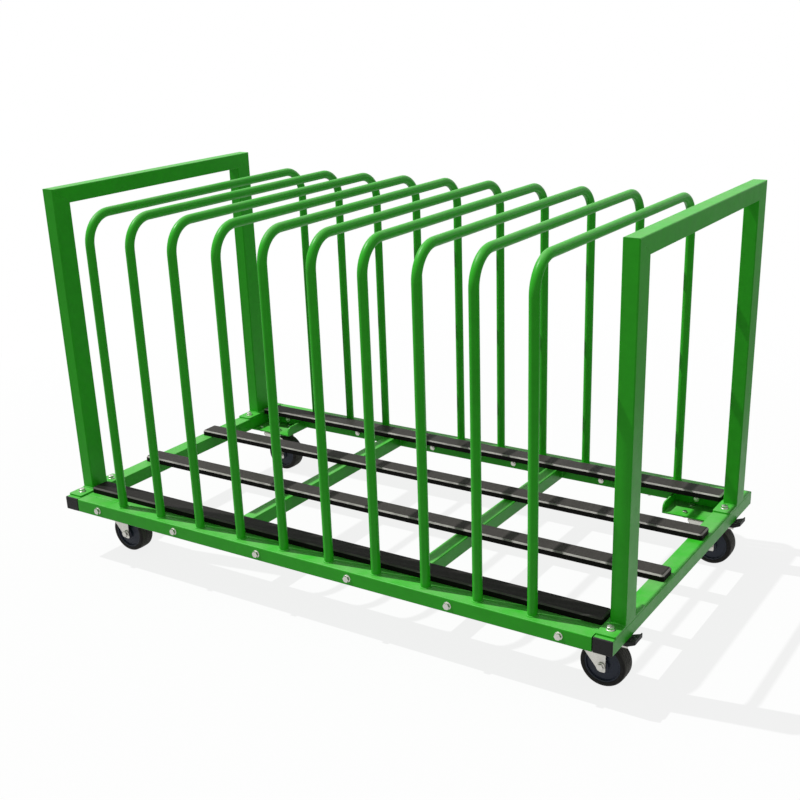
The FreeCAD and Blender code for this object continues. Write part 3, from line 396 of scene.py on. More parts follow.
def finish_zinc_steel(name, finish):
    """Plated steel with a faint spangle and fine scratches."""
    tree, shader = new_finish(name, "Metallic", 1.0)
    spangle = add_node(tree, "ShaderNodeTexVoronoi", {"Vector": object_place(tree), "Scale": 260.0})
    cells = add_node(tree, "ShaderNodeSeparateColor", {0: spangle.outputs["Color"]}).outputs[0]
    tone = use_group(tree, "Tone patches", Colour=opaque(finish.zinc), Scale=45.0, Amount=0.14)
    scratch = use_group(tree, "Long streaks", Stretch=(900, 60, 900), Low=0.60, High=0.72)
    dull = remap(tree, scratch, 0.0, 1.0, to_high=0.25)
    tint = blend(tree, dull, tone, finish.dull_zinc)
    roughness = calculate(tree, "ADD", remap(tree, cells, 0.0, 1.0, to_low=0.26, to_high=0.38), dull)
    grain = use_group(tree, "Fine grain", Scale=900.0, Detail=2.0)
    feed(tree, shader, tint, roughness, grain, depth=0.00004)


def finish_runner_plastic(name, finish):
    """Extruded strip with lines along it, a top that the load has rubbed grey, and a pale highlight painted
    along its bevels.
    """
    tree, shader = new_finish(name, "Specular IOR Level", 0.03)
    tone = use_group(tree, "Tone patches", Colour=opaque(finish.runner), Scale=8.0, Amount=0.25)
    rubbed = use_group(tree, "Tone patches", Colour=opaque(finish.rubbed), Scale=11.0, Amount=0.22)
    # Runners towards the front keep less of the rubbed grey and the bevel highlight, which paints the front
    # runner's top dark as the hoop legs' shade.
    across = add_node(tree, "ShaderNodeSeparateXYZ", {0: object_place(tree)}).outputs["Y"]
    unshaded_share = remap(tree, across, finish.shaded_front_to, finish.unshaded_from, to_low=finish.shaded_front_share)
    top = use_group(tree, "Facing up", Low=0.84, High=0.96)
    rubs = use_group(tree, "Long streaks", Stretch=(260, 9, 260), Low=0.30, High=0.75)
    lying = calculate(tree, "MULTIPLY", top, remap(tree, rubs, 0.0, 1.0, to_low=0.75))
    worn_top = calculate(tree, "MULTIPLY", lying, unshaded_share)
    # The sloping bevels get a pale band, which is a painted highlight with a little polishing.
    sloping = use_group(tree, "Facing up", Low=0.45, High=0.62)
    bevel = calculate(tree, "SUBTRACT", sloping, use_group(tree, "Facing up", Low=0.76, High=0.90))
    patches = remap(tree, noise(tree, scale=18.0, detail=5.0), low=0.35, high=0.6, to_low=0.6)
    painted_bevel_highlight = calculate(tree, "MULTIPLY", calculate(tree, "MULTIPLY", bevel, patches), unshaded_share)
    tint = blend(tree, painted_bevel_highlight, blend(tree, worn_top, tone, rubbed), finish.bevel_highlight)
    lines = use_group(tree, "Long streaks", Stretch=(3, 900, 900), Low=0.30, High=0.70)
    roughness = remap(tree, calculate(tree, "ADD", rubs, lines), 0.0, 2.0, to_low=0.36, to_high=0.55)
    feed(tree, shader, tint, roughness, lines, depth=0.00008)


def finish_black_plastic(name, finish):
    """Moulded plastic with a pebbled skin."""
    tree, shader = new_finish(name, "Specular IOR Level", 0.20)
    pebbles = add_node(tree, "ShaderNodeTexVoronoi", {"Vector": object_place(tree), "Scale": 1100.0})
    tone = use_group(tree, "Tone patches", Colour=opaque(finish.plastic), Scale=30.0, Amount=0.25)
    rubbed_and_highlit_edges = use_group(tree, "Rubbed and highlit edges", Width=0.0015, Amount=finish.edge_rub_and_highlight_share)
    tint = blend(tree, rubbed_and_highlit_edges, tone, finish.grey_rub_and_highlight)
    roughness = wander(tree, scale=120.0, low=0.42, high=0.55)
    feed(tree, shader, tint, roughness, pebbles.outputs["Distance"], depth=0.00012)


def finish_hub_plastic(name, finish):
    """Dark moulded hub with faint flow marks, its edges paled twice as much as other plastic: scuffs and a
    painted highlight on the rim lip.
    """
    tree, shader = new_finish(name, "Specular IOR Level", 0.25)
    tone = use_group(tree, "Tone patches", Colour=opaque(finish.hub), Scale=40.0, Amount=0.30)
    # Twice the paling along the edges paints a highlight on the rim lip, over the scuffs.
    rubbed_and_highlit_edges = use_group(tree, "Rubbed and highlit edges", Width=0.0012, Amount=2 * finish.edge_rub_and_highlight_share)
    tint = blend(tree, rubbed_and_highlit_edges, tone, finish.grey_rub_and_highlight)
    roughness = wander(tree, scale=90.0, low=0.34, high=0.46)
    grain = use_group(tree, "Fine grain", Scale=700.0, Detail=2.0)
    feed(tree, shader, tint, roughness, grain, depth=0.00006)


def finish_tyre_rubber(name, finish):
    """Matt rubber with its tread rubbed dusty, away from the sidewalls, which face along the axle."""
    tree, shader = new_finish(name, "Specular IOR Level", 0.20)
    tone = use_group(tree, "Tone patches", Colour=opaque(finish.rubber), Scale=30.0, Amount=0.30)
    normal = add_node(tree, "ShaderNodeTexCoord").outputs["Normal"]
    sideways = add_node(tree, "ShaderNodeSeparateXYZ", {0: normal}).outputs["Y"]
    tread = remap(tree, calculate(tree, "ABSOLUTE", sideways), low=0.8, high=0.3)
    marks = remap(tree, noise(tree, scale=55.0, detail=6.0), low=0.35, high=0.75, to_low=0.05, to_high=0.16)
    tint = blend(tree, calculate(tree, "MULTIPLY", tread, marks), tone, finish.dust_and_sheen)
    roughness = wander(tree, scale=140.0, low=0.58, high=0.74)
    grain = use_group(tree, "Fine grain", Scale=1000.0, Detail=3.0)
    feed(tree, shader, tint, roughness, grain, depth=0.00015)


GROUPS = (group_tone_patches, group_fine_grain, group_long_streaks, group_rubbed_and_highlit_edges, group_facing_up,
          group_dust_and_sheen)
FINISHES = {
    "green_paint": ("Green powder coat", finish_green_paint),
    "zinc_steel": ("Zinc plate", finish_zinc_steel),
    "runner_plastic": ("Runner plastic", finish_runner_plastic),
    "black_plastic": ("Black plastic", finish_black_plastic),
    "hub_plastic": ("Hub plastic", finish_hub_plastic),
    "tyre_rubber": ("Tyre rubber", finish_tyre_rubber),
}


def finish_of(slot):
    return bpy.data.materials[FINISHES[slot][0]]


# Shapes

def copy_shape(node):
    """Mesh of a CAD node as one joined-up shape."""
    shape = bmesh.new()
    shape.from_mesh(frame["nodes"][node].data)
    bmesh.ops.remove_doubles(shape, verts=shape.verts, dist=SAME)
    bmesh.ops.dissolve_limit(shape, angle_limit=FLAT, verts=shape.verts, edges=shape.edges)
    return shape


def solid_boxes(node):
    """Lowest and highest corner of each separate solid of a node."""
    shape = copy_shape(node)
    boxes = []
    for start in shape.verts:
        if start.tag:
            continue
        start.tag = True
        reached = [start]
        for vert in reached:
            for edge in vert.link_edges:
                other = edge.other_vert(vert)
                if not other.tag:
                    other.tag = True
                    reached.append(other)
        places = [vert.co for vert in reached]
        boxes.append((Vector(map(min, *places)), Vector(map(max, *places))))
    shape.free()
    return boxes


def bevel_edges(shape, edges, width):
    """Round some edges of a shape."""
    bmesh.ops.bevel(shape, geom=edges, offset=width, offset_type="OFFSET", segments=2, profile=0.5,
                    affect="EDGES", clamp_overlap=True, material=-1)


def round_edges(shape, width):
    """Round all the corners of a shape."""
    sharp = [edge for edge in shape.edges if edge.is_manifold and edge.calc_face_angle() > CREASE]
    bevel_edges(shape, sharp, width)


def softened(node, width):
    """Copy of a CAD node with its corners rounded."""
    shape = copy_shape(node)
    round_edges(shape, width)
    return shape


def gather(*parts):
    """One shape from master shapes, each with the places of its copies."""
    whole = bmesh.new()
    for master, places in parts:
        mesh = bpy.data.meshes.new("master")
        master.to_mesh(mesh)
        master.free()
        for place in places:
            start = len(whole.verts)
            whole.from_mesh(mesh)
            whole.verts.ensure_lookup_table()
            bmesh.ops.transform(whole, matrix=place, verts=whole.verts[start:])
        bpy.data.meshes.remove(mesh)
    return whole


def add_piece(name, shape, slot, body, *nodes):
    """Make a shape a piece that rides on a body and stands for CAD nodes."""
    bmesh.ops.recalc_face_normals(shape, faces=shape.faces)
    mesh = bpy.data.meshes.new(name)
    shape.to_mesh(mesh)
    shape.free()
    mesh.shade_smooth()
    mesh.set_sharp_from_angle(angle=CREASE)
    mesh.materials.append(finish_of(slot))
    piece = bpy.data.objects.new(name, mesh)
    bpy.context.scene.collection.objects.link(piece)
    piece.modifiers.new("Even shading", "WEIGHTED_NORMAL").keep_sharp = True
    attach(piece, body)
    if nodes:
        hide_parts(*nodes)


def round_nodes(sizes, slot, *nodes):
    """Put copies with rounded edges in place of CAD nodes of the frame."""
    for node in nodes:
        add_piece(f"{node}_rounded", softened(node, sizes.edge_round), slot, "frame", node)


def outward(spot):
    """Direction across the trolley, away from its middle."""
    return Vector((0, math.copysign(1, spot.y), 0))


def aim(point, way):
    """Matrix that puts a shape at a point and turns its Z axis along a direction."""
    return Matrix.Translation(point) @ Vector(way).to_track_quat("Z", "Y").to_matrix().to_4x4()


def extrude_ring(shape, edges):
    """Extrude a ring of edges, and give the new ring's vertices and edges."""
    made = bmesh.ops.extrude_edge_only(shape, edges=edges)["geom"]
    verts = [item for item in made if isinstance(item, bmesh.types.BMVert)]
    inside = set(verts)
    ring = [item for item in made if isinstance(item, bmesh.types.BMEdge) and inside.issuperset(item.verts)]
    return verts, ring


def close_ends(shape, first, last, joined):
    """Join the last ring to the first, or cap both."""
    if joined:
        bmesh.ops.bridge_loops(shape, edges=first + last)
    else:
        for ring in (first, last):
            bmesh.ops.contextual_create(shape, geom=ring)


def circle(radius, height):
    """Round ring for a stack."""
    return lambda turn: (radius, height)


def hexagon(flats, height, slope=0.0):
    """Ring for a stack, on a hexagon with two corners on the X axis. The corners drop by a slope."""
    def ring(turn):
        reach = flats / 2 / math.cos(turn % (TURN / 6) - TURN / 12)
        return reach, height - slope * (reach - flats / 2)
    return ring


def stack(rings, joined=False):
    """Shape skinned over rings around Z, each a radius and a height for every direction."""
    shape = bmesh.new()
    verts = bmesh.ops.create_circle(shape, segments=BOLT_STEPS, radius=1)["verts"]
    edges = first = list(shape.edges)
    for index, ring in enumerate(rings):
        if index:
            verts, edges = extrude_ring(shape, edges)
        for vert in verts:
            turn = math.atan2(vert.co.y, vert.co.x)
            reach, height = ring(turn)
            vert.co = (reach * math.cos(turn), reach * math.sin(turn), height)
    close_ends(shape, first, edges, joined)
    return shape


def sweep(shape, stations, joined):
    """Skin a ring along stations, which are matrices that place a circle of radius 1."""
    made = bmesh.ops.create_circle(shape, segments=BEAD_SIDES, radius=1, matrix=stations[0])["verts"]
    edges = first = list({edge for vert in made for edge in vert.link_edges})
    for before, after in zip(stations, stations[1:]):
        verts, edges = extrude_ring(shape, edges)
        bmesh.ops.transform(shape, matrix=after @ before.inverted(), verts=verts)
    close_ends(shape, first, edges, joined)


def spun(outline, centre):
    """Ring turned about an axle along Y, from a closed outline of places along the axle and radii."""
    shape = bmesh.new()
    verts = [shape.verts.new((0, along, radius)) for along, radius in outline]
    edges = [shape.edges.new(pair) for pair in zip(verts, verts[1:] + verts[:1])]
    bmesh.ops.spin(shape, geom=verts + edges, cent=(0, 0, 0), axis=(0, 1, 0), angle=TURN,
                   steps=WHEEL_STEPS, use_merge=True)
    bmesh.ops.translate(shape, verts=shape.verts, vec=centre)
    return shape


# Welds

def swell(sizes, step):
    """Size of a weld bead at a step along it."""
    return sizes.bead * (1 + sizes.bead_ripple * math.cos(TURN * step / RIPPLE_STEPS))


def bead_around(shape, sizes, centre, loop, joined=True):
    """Weld bead around a foot, along a loop of points and the turns that face outwards there."""
    stations = []
    for step, (x, y, turn) in enumerate(loop):
        spot = centre @ Matrix.Translation((x, y, 0)) @ Matrix.Rotation(turn, 4, "Z")
        stations.append(spot @ Matrix.Rotation(TURN / 4, 4, "X") @ Matrix.Scale(swell(sizes, step), 4))
    sweep(shape, stations, joined)


def bead_along(shape, sizes, start, end):
    """Weld bead along a straight seam, with drawn-in ends."""
    run = end - start
    steps = max(len(BEAD_TAPER), round(run.length / sizes.bead_pitch * RIPPLE_STEPS))
    stations = []
    for step in range(steps + 1):
        size = swell(sizes, step)
        from_end = min(step, steps - step)
        if from_end < len(BEAD_TAPER):
            size *= BEAD_TAPER[from_end]
        stations.append(aim(start + run * step / steps, run) @ Matrix.Scale(size, 4))
    sweep(shape, stations, joined=False)


def round_loop(radius, pitch):
    """Stations around a round tube."""
    steps = RIPPLE_STEPS * round(TURN * radius / pitch)
    turns = [TURN * step / steps for step in range(steps)]
    return [(radius * math.cos(turn), radius * math.sin(turn), turn) for turn in turns]


def square_loop(half_x, half_y, corner, pitch):
    """Stations around a square tube with rounded corners."""
    loop = []
    runs = (half_x - corner, half_y - corner)
    for quarter, (sign_x, sign_y) in enumerate(((1, 1), (-1, 1), (-1, -1), (1, -1))):
        middle_x = sign_x * runs[0]
        middle_y = sign_y * runs[1]
        for step in range(CORNER_STEPS):
            turn = TURN / 4 * (quarter + step / CORNER_STEPS)
            loop.append((middle_x + corner * math.cos(turn), middle_y + corner * math.sin(turn), turn))
        turn = TURN / 4 * (quarter + 1)
        run = 2 * runs[quarter % 2]
        steps = round(run / pitch * RIPPLE_STEPS)
        for step in range(steps):
            along = run * step / steps
            loop.append((middle_x + corner * math.cos(turn) - along * math.sin(turn),
                         middle_y + corner * math.sin(turn) + along * math.cos(turn), turn))
    return loop


def weld_hoops(sizes):
    """Beads around the hoops' feet."""
    shape = bmesh.new()
    for hoop in HOOPS:
        low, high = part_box(hoop)
        radius = (high.x - low.x) / 2
        for foot_y in (low.y + radius, high.y - radius):
            centre = Matrix.Translation((low.x + radius, foot_y, low.z))
            bead_around(shape, sizes, centre, round_loop(radius, sizes.bead_pitch))
    add_piece("hoop_welds", shape, "green_paint", "frame")


def weld_posts(sizes):
    """Beads around the posts' feet, except on their flush outer faces, and under the top bars' corners."""
    shape = bmesh.new()
    for corner in CORNERS:
        low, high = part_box(f"frame_post_{corner}")
        half = (high - low) / 2
        side = corner.split("_")[0]
        centre = Matrix.Translation((low.x + half.x, low.y + half.y, low.z))
        if side == "left":
            centre @= Matrix.Rotation(TURN / 2, 4, "Z")
        loop = square_loop(half.x, half.y, sizes.tube_round, sizes.bead_pitch)
        inner = [station for station in loop if math.cos(station[2]) < math.cos(BEAD_OPENING)]
        bead_around(shape, sizes, centre, inner, joined=False)
        bar_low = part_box(f"frame_top_bar_{side}")[0].z
        inner_y = high.y if low.y < 0 else low.y
        start = Vector((low.x + sizes.tube_round, inner_y, bar_low))
        bead_along(shape, sizes, start, start + Vector((2 * (half.x - sizes.tube_round), 0, 0)))
    add_piece("post_welds", shape, "green_paint", "frame")


def weld_base(sizes):
    """Beads where the inner rails meet the end beams and the cross members meet the inner rails."""
    shape = bmesh.new()
    for face, inward in (("front", 1), ("rear", -1)):
        low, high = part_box(f"inner_rail_{face}")
        inner_y = high.y if inward > 0 else low.y
        bottom = low.z + sizes.tube_round
        top = high.z - sizes.tube_round
        for end_x in (low.x, high.x):
            bead_along(shape, sizes, Vector((end_x, low.y + sizes.tube_round, high.z - sizes.bead / 2)),
                       Vector((end_x, high.y - sizes.tube_round, high.z - sizes.bead / 2)))
            bead_along(shape, sizes, Vector((end_x, inner_y, bottom)), Vector((end_x, inner_y, top)))
        for side in ("left", "right"):
            member_low, member_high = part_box(f"cross_member_{side}")
            for side_x in (member_low.x, member_high.x):
                bead_along(shape, sizes, Vector((side_x, inner_y, bottom)), Vector((side_x, inner_y, top)))
    add_piece("base_welds", shape, "green_paint", "frame")


# Fasteners

def bolt_shape(kind, span):
    """Bolt with its seat at the origin, its head up and its thread down to a span below."""
    half = kind.flats / 2
    top = kind.head + kind.flange_thick
    rings = [circle(CROWN * half, top), hexagon(kind.flats, top - (1 - CROWN) * half * CHAMFER, CHAMFER),
             hexagon(kind.flats, kind.flange_thick)]
    if kind.flange:
        edge = kind.flange / 2
        thick = kind.flange_thick
        rings += [circle(edge - FLANGE_ROUND * thick, FLANGE_SLOPE * thick),
                  circle(edge, FLANGE_RIM * thick), circle(edge, 0)]
    crest = kind.thread / 2
    root = crest - THREAD_DEPTH * kind.pitch
    start = kind.turns * kind.pitch - span
    rings += [circle(crest, 0), circle(crest, start)]
    for turn in range(kind.turns):
        rings += [circle(root, start - (turn + THREAD_ROOT) * kind.pitch),
                  circle(crest, start - (turn + THREAD_CREST) * kind.pitch)]
    rings += [circle(root, -span)]
    return stack(rings)


def nut_shape(kind):
    """Nut with its seat at the origin and its body below."""
    half = kind.flats / 2
    drop = (1 - CROWN) * half * CHAMFER
    bore = kind.thread / 2
    return stack([circle(bore, 0), circle(CROWN * half, 0), hexagon(kind.flats, -drop, CHAMFER),
                  hexagon(kind.flats, drop - kind.nut, -CHAMFER), circle(CROWN * half, -kind.nut),
                  circle(bore, -kind.nut)], joined=True)


def set_bolts(name, kind, node, facing):
    """Bolts in place of a CAD node's, all alike, with their heads facing the way that their middle gives."""
    above = kind.head + kind.flange_thick
    places = []
    for low, high in solid_boxes(node):
        middle = (low + high) / 2
        way = Vector(facing(middle))
        reach = abs((high - low).dot(way))
        places.append(aim(middle + way * (reach / 2 - above), way))
    add_piece(name, gather((bolt_shape(kind, reach - above), places)), "zinc_steel", "frame", node)


def set_nuts(name, node, kind):
    """Nuts in place of a CAD node's, each along its thinnest side."""
    places = []
    for low, high in solid_boxes(node):
        size = high - low
        way = Vector(float(side == min(size)) for side in size)
        places.append(aim((low + high + way * kind.nut) / 2, way))
    add_piece(name, gather((nut_shape(kind), places)), "zinc_steel", "frame", node)


# Casters

def arc(along, radius, size, first, last, steps):
    """Points of an arc in a wheel's outline, between two turns from the axle's direction."""
    turns = [first + (last - first) * step / steps for step in range(steps + 1)]
    return [(along + size * math.cos(turn), radius + size * math.sin(turn)) for turn in turns]


def mirrored(half):
    """Outline from one half and its mirror image."""
    return half + [(-along, radius) for along, radius in reversed(half)]


def tyre_outline(sizes, side, rim, outer):
    """Rounded sidewalls and shoulders, and a crowned tread with grooves around it."""
    shoulder = sizes.tyre_shoulder
    bulge = sizes.tyre_bulge
    flat = side - shoulder
    half = [(side - bulge, rim), (side - bulge / 4, rim + bulge)]
    half += arc(flat, outer - sizes.tyre_crown - shoulder, shoulder, 0, TURN / 4, SHOULDER_STEPS)
    mouth = sizes.tread_groove / 2
    for step in reversed(range(sizes.tread_grooves // 2)):
        middle = flat * (2 * step + 1) / sizes.tread_grooves
        top = outer - sizes.tyre_crown * (middle / flat) ** 2
        bottom = top - mouth
        half += [(middle + mouth, top), (middle + mouth / 2, bottom),
                 (middle - mouth / 2, bottom), (middle - mouth, top)]
    return mirrored(half)


def hub_outline(sizes, rim_half, rim, barrel_half, bore):
    """Rim with a raised lip, web that rises to a step, and the barrel."""
    ease = sizes.edge_round
    lip = rim - sizes.rim_lip
    web = sizes.web / 2
    barrel = sizes.barrel / 2
    step = barrel + sizes.collar
    rise = web + sizes.web_rise
    half = [(rim_half - ease, rim), (rim_half, rim - ease), (rim_half, lip + ease), (rim_half - ease, lip)]
    half += arc(web + sizes.rim_cove, lip - ease, -sizes.rim_cove, -TURN / 4, 0, CORNER_STEPS)
    half += [(rise, step + ease), (rise + ease, step), (rise + 2 * ease, step - ease)]
    half += [(rise + 2 * ease, barrel), (barrel_half - ease, barrel)]
    half += [(barrel_half, barrel - ease), (barrel_half, bore)]
    return mirrored(half)


def race_shape(sizes, low, high):
    """Swivel race around Z at the origin, with a groove around its middle."""
    bore = sizes.race_bore / 2
    outer = (high.x - low.x) / 2
    ease = sizes.edge_round
    waist = outer - sizes.race_groove
    top = (high.z - low.z) / 2
    lip = top / 3
    upper = [circle(bore, top), circle(outer - ease, top), circle(outer, top - ease), circle(outer, lip),
             circle(waist, lip - sizes.race_groove)]
    lower = [circle(waist, sizes.race_groove - lip), circle(outer, -lip), circle(outer, ease - top),
             circle(outer - ease, -top), circle(bore, -top)]
    return stack(upper + lower, joined=True)


def fork_shape(corner, sizes):
    """Pressed fork: the CAD fork with sunk cheeks and rounded edges."""
    node = f"caster_fork_{corner}"
    low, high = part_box(node)
    shape = copy_shape(node)
    cheeks = [face for face in shape.faces if abs(face.normal.y) > math.cos(FLAT)
              and min(abs(face.calc_center_median().y - y) for y in (low.y, high.y)) < SAME]
    bmesh.ops.inset_region(shape, faces=cheeks, thickness=sizes.cheek_rim, depth=-sizes.cheek_press,
                           use_boundary=True, use_even_offset=True)
    round_edges(shape, sizes.sheet_round)
    return shape


def axle_shape(corner, sizes):
    """Axle bolt with its nut, and the sleeve between the fork's cheeks."""
    centre = ANCHORS[f"spin_{corner}"]
    fork_low, fork_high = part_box(f"caster_fork_{corner}")
    low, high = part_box(f"caster_axle_{corner}")
    way = outward(centre)
    cheek = (fork_high.y - fork_low.y) / 2
    above = FLANGE_BOLT.head + FLANGE_BOLT.flange_thick
    bolt = bolt_shape(FLANGE_BOLT, high.y - low.y - above)
    bore = FLANGE_BOLT.thread / 2
    gap = cheek - sizes.fork_sheet
    sleeve = stack([circle(bore, -gap), circle(sizes.sleeve / 2, -gap), circle(sizes.sleeve / 2, gap),
                    circle(bore, gap)], joined=True)
    return gather((bolt, [aim(centre + way * cheek, way)]), (sleeve, [aim(centre, way)]),
                  (nut_shape(FLANGE_BOLT), [aim(centre - way * cheek, way)]))


def pedal_shape(corner, sizes):
    """Pedal with rounded edges and ribs across its tread."""
    node = f"brake_pedal_{corner}"
    low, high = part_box(node)
    shape = copy_shape(node)
    tread = max((face for face in shape.faces if face.normal.z > LEVEL), key=lambda face: face.calc_area())
    across = Vector((0, 1, 0))
    axes = Matrix((across.cross(tread.normal), across, tread.normal)).transposed().to_4x4()
    place = Matrix.Translation(tread.calc_center_median()) @ axes
    round_edges(shape, sizes.pedal_round)
    size = Matrix.Diagonal((sizes.grip_rib, sizes.rib_share * (high.y - low.y), sizes.grip_rib, 1))
    for rib in range(sizes.grip_ribs):
        along = (rib - (sizes.grip_ribs - 1) / 2) * sizes.rib_pitch
        spot = place @ Matrix.Translation((along, 0, 0)) @ size
        made = bmesh.ops.create_cube(shape, size=1, matrix=spot)["verts"]
        bevel_edges(shape, list({edge for vert in made for edge in vert.link_edges}), sizes.grip_rib / 4)
    return shape


# Operators

class TROLLEY_OT_finishes(bpy.types.Operator):
    """Make the finishes and put them on the CAD pieces"""

    bl_idname = "trolley.finishes"
    bl_label = "Finishes"

    def execute(self, context):
        for make_group in GROUPS:
            make_group()
        for name, make_finish in FINISHES.values():
            make_finish(name, context.scene.trolley_finish)
        for node in frame["nodes"].values():
            for slot in node.material_slots:
                slot.material = finish_of(slot.material.name)
        return {"FINISHED"}


class TROLLEY_OT_welds(bpy.types.Operator):
    """Lay the weld beads on the base, the hoops and the end frames"""

    bl_idname = "trolley.welds"
    bl_label = "Welds"

    def execute(self, context):
        sizes = context.scene.trolley_sizes
        weld_hoops(sizes)
        weld_posts(sizes)
        weld_base(sizes)
        return {"FINISHED"}


class TROLLEY_OT_plates(bpy.types.Operator):
    """Round the edges of the foot plates, corner plates and caster plates"""

    bl_idname = "trolley.plates"
    bl_label = "Plates"

    def execute(self, context):
        sizes = context.scene.trolley_sizes
        round_nodes(sizes, "green_paint", "foot_plates", "caster_mount_plates")
        round_nodes(sizes, "zinc_steel", "caster_top_plates")
        return {"FINISHED"}


class TROLLEY_OT_runners(bpy.types.Operator):
    """Round the edges of the four runners"""

    bl_idname = "trolley.runners"
    bl_label = "Runners"

    def execute(self, context):
        rows = ("front", "middle_front", "middle_rear", "rear")
        round_nodes(context.scene.trolley_sizes, "runner_plastic", *(f"runner_{row}" for row in rows))
        return {"FINISHED"}


class TROLLEY_OT_fasteners(bpy.types.Operator):
    """Set the bolts, nuts and screws"""

    bl_idname = "trolley.fasteners"
    bl_label = "Bolts and nuts"

    def execute(self, context):
        set_bolts("rail_flange_bolts", FLANGE_BOLT, "rail_bolts", outward)
        set_bolts("foot_flange_bolts", FLANGE_BOLT, "foot_bolts", lambda spot: (0, 0, 1))
        set_bolts("caster_hex_bolts", CASTER_BOLT, "caster_bolts", lambda spot: (0, 0, 1))
        set_bolts("runner_hex_screws", RUNNER_SCREW, "runner_screws", lambda spot: (0, 0, -1))
        set_nuts("frame_hex_nuts", "frame_nuts", FLANGE_BOLT)
        set_nuts("caster_hex_nuts", "caster_nuts", CASTER_BOLT)
        return {"FINISHED"}


class TROLLEY_OT_forks(bpy.types.Operator):
    """Press the caster forks and turn their axles and swivel races"""

    bl_idname = "trolley.forks"
    bl_label = "Forks and axles"

    def execute(self, context):
        sizes = context.scene.trolley_sizes
        races = solid_boxes("swivel_races")
        places = [Matrix.Translation((low + high) / 2) for low, high in races]
        add_piece("grooved_races", gather((race_shape(sizes, *races[0]), places)), "zinc_steel", "frame",
                  "swivel_races")
        for corner in CORNERS:
            body = f"fork_{corner}"
            add_piece(f"pressed_fork_{corner}", fork_shape(corner, sizes), "zinc_steel", body,
                      f"caster_fork_{corner}")
            add_piece(f"axle_bolt_{corner}", axle_shape(corner, sizes), "zinc_steel", body,
                      f"caster_axle_{corner}")
        return {"FINISHED"}


class TROLLEY_OT_wheels(bpy.types.Operator):
    """Turn the hubs and tyres"""

    bl_idname = "trolley.wheels"
    bl_label = "Wheels"

    def execute(self, context):
        sizes = context.scene.trolley_sizes
        for corner in CORNERS:
            centre = ANCHORS[f"spin_{corner}"]
            body = f"wheel_{corner}"
            tyre_low, tyre_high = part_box(f"wheel_tyre_{corner}")
            hub_low, hub_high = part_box(f"wheel_hub_{corner}")
            side = (tyre_high.y - tyre_low.y) / 2
            rim = (hub_high.z - hub_low.z) / 2
            tyre = tyre_outline(sizes, side, rim, (tyre_high.z - tyre_low.z) / 2)
            add_piece(f"tyre_{corner}", spun(tyre, centre), "tyre_rubber", body, f"wheel_tyre_{corner}")
            hub = hub_outline(sizes, side - RIM_INSET, rim, (hub_high.y - hub_low.y) / 2,
                              sizes.sleeve / 2 + RUNNING_PLAY)
            add_piece(f"hub_{corner}", spun(hub, centre), "hub_plastic", body, f"wheel_hub_{corner}")
        return {"FINISHED"}


class TROLLEY_OT_brakes(bpy.types.Operator):
    """Round the brake levers and rib their pedals"""

    bl_idname = "trolley.brakes"
    bl_label = "Brakes"

    def execute(self, context):
        sizes = context.scene.trolley_sizes
        for corner in BRAKED:
            body = f"brake_{corner}"
            add_piece(f"ribbed_pedal_{corner}", pedal_shape(corner, sizes), "black_plastic", body,
                      f"brake_pedal_{corner}")
            add_piece(f"brake_lever_{corner}", softened(f"brake_shoe_{corner}", sizes.sheet_round),
                      "zinc_steel", body, f"brake_shoe_{corner}")
        return {"FINISHED"}


def view_rays(tree, mirrored_share=1.0):
    """How far the surroundings are white: all the way where they are seen, and by a share in reflections."""
    path = add_node(tree, "ShaderNodeLightPath").outputs
    direct = calculate(tree, "MAXIMUM", path["Is Camera Ray"], path["Is Transmission Ray"])
    shiny = calculate(tree, "MULTIPLY", path["Is Glossy Ray"], mirrored_share)
    return calculate(tree, "MAXIMUM", direct, shiny)


def light_world(stage):
    """Even light from all around, and white behind the object."""
    world = bpy.data.worlds.new("Studio")
    world.use_nodes = True
    tree = world.node_tree
    tree.nodes.clear()
    sky = add_node(tree, "ShaderNodeBackground", {"Color": (1, 1, 1, 1), "Strength": stage.sky})
    white = add_node(tree, "ShaderNodeBackground", {"Color": (1, 1, 1, 1), "Strength": 1.0})
    mixed = add_node(tree, "ShaderNodeMixShader", {0: view_rays(tree), 1: sky.outputs[0],
                                                   2: white.outputs[0]})
    add_node(tree, "ShaderNodeOutputWorld", {"Surface": mixed.outputs[0]})
    return world


def add_lamp(stage):
    lamp = bpy.data.lights.new("Key light", "SUN")
    lamp.energy = stage.sun_strength
    lamp.angle = stage.sun_spread
    item = bpy.data.objects.new("Key light", lamp)
    item.rotation_euler = Vector(stage.sun_travel).to_track_quat("-Z", "Y").to_euler()
    bpy.context.scene.collection.objects.link(item)


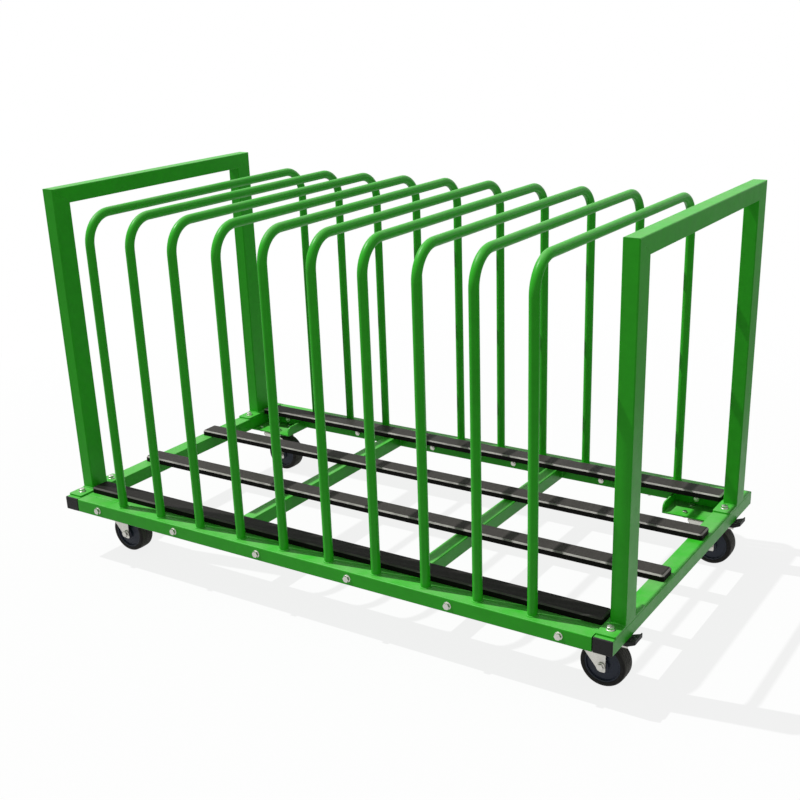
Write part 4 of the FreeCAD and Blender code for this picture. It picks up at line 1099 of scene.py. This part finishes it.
def add_floor(stage):
    """Pale floor that keeps the shadow and turns white away from the object."""
    shape = bmesh.new()
    bmesh.ops.create_grid(shape, x_segments=1, y_segments=1, size=stage.floor_reach)
    mesh = bpy.data.meshes.new("floor")
    shape.to_mesh(mesh)
    shape.free()
    material = bpy.data.materials.new("Floor")
    material.use_nodes = True
    tree = material.node_tree
    tree.nodes.clear()
    place = {0: object_place(tree)}
    away = add_node(tree, "ShaderNodeVectorMath", place, operation="LENGTH").outputs["Value"]
    seen = view_rays(tree, remap(tree, away, stage.mirror_to, stage.mirror_from))
    pale = remap(tree, seen, 0.0, 1.0, stage.floor, stage.floor_seen)
    grey = add_node(tree, "ShaderNodeCombineXYZ", {axis: pale for axis in "XYZ"})
    matt = add_node(tree, "ShaderNodeBsdfDiffuse", {"Color": grey.outputs[0]})
    white = add_node(tree, "ShaderNodeEmission", {"Color": (1, 1, 1, 1), "Strength": 1.0})
    glow = remap(tree, away, stage.clear_from, stage.clear_to, to_low=stage.floor_glow)
    shown = calculate(tree, "MULTIPLY", seen, glow)
    mixed = add_node(tree, "ShaderNodeMixShader", {0: shown, 1: matt.outputs[0], 2: white.outputs[0]})
    add_node(tree, "ShaderNodeOutputMaterial", {"Surface": mixed.outputs[0]})
    mesh.materials.append(material)
    floor = bpy.data.objects.new("floor", mesh)
    bpy.context.scene.collection.objects.link(floor)


def add_camera(stage):
    """Camera at the photograph's angle, turned by its azimuth, elevation and roll."""
    data = bpy.data.cameras.new("Camera")
    data.lens = stage.camera_lens
    data.shift_x, data.shift_y = stage.camera_shift
    camera = bpy.data.objects.new("Camera", data)
    turn = (Matrix.Rotation(stage.camera_azimuth, 4, "Z")
            @ Matrix.Rotation(TURN / 4 - stage.camera_elevation, 4, "X")
            @ Matrix.Rotation(stage.camera_roll, 4, "Z"))
    camera.matrix_world = Matrix.Translation(stage.camera_place) @ turn
    bpy.context.scene.collection.objects.link(camera)
    bpy.context.scene.camera = camera


class TROLLEY_OT_stage(bpy.types.Operator):
    """Set the floor, the light and the camera"""

    bl_idname = "trolley.stage"
    bl_label = "Stage"

    def execute(self, context):
        stage = context.scene.trolley_stage
        context.scene.world = light_world(stage)
        context.scene.view_settings.view_transform = "Standard"
        add_lamp(stage)
        add_floor(stage)
        add_camera(stage)
        return {"FINISHED"}


SETTINGS = {"trolley_finish": TrolleyFinish, "trolley_sizes": TrolleySizes, "trolley_stage": TrolleyStage}
OPERATORS = (TROLLEY_OT_finishes, TROLLEY_OT_welds, TROLLEY_OT_plates, TROLLEY_OT_runners,
             TROLLEY_OT_fasteners, TROLLEY_OT_forks, TROLLEY_OT_wheels, TROLLEY_OT_brakes, TROLLEY_OT_stage)


class TROLLEY_PT_pieces(bpy.types.Panel):
    """Pieces of the trolley and their settings"""

    bl_idname = "TROLLEY_PT_pieces"
    bl_label = "Shelf trolley"
    bl_space_type = "VIEW_3D"
    bl_region_type = "UI"
    bl_category = "Trolley"

    def draw(self, context):
        for operator in OPERATORS:
            self.layout.operator(operator.bl_idname)
        for name, settings in SETTINGS.items():
            box = self.layout.box()
            for item in settings.__annotations__:
                box.prop(getattr(context.scene, name), item)


CLASSES = (*SETTINGS.values(), *OPERATORS, TROLLEY_PT_pieces)


def register():
    for item in CLASSES:
        bpy.utils.register_class(item)
    for name, settings in SETTINGS.items():
        setattr(bpy.types.Scene, name, PointerProperty(type=settings))


def unregister():
    for name in SETTINGS:
        delattr(bpy.types.Scene, name)
    for item in reversed(CLASSES):
        bpy.utils.unregister_class(item)


def main():
    register()
    bpy.ops.trolley.finishes()
    bpy.ops.trolley.welds()
    bpy.ops.trolley.plates()
    bpy.ops.trolley.runners()
    bpy.ops.trolley.fasteners()
    bpy.ops.trolley.forks()
    bpy.ops.trolley.wheels()
    bpy.ops.trolley.brakes()
    bpy.ops.trolley.stage()


if __name__ == "__main__":
    main()
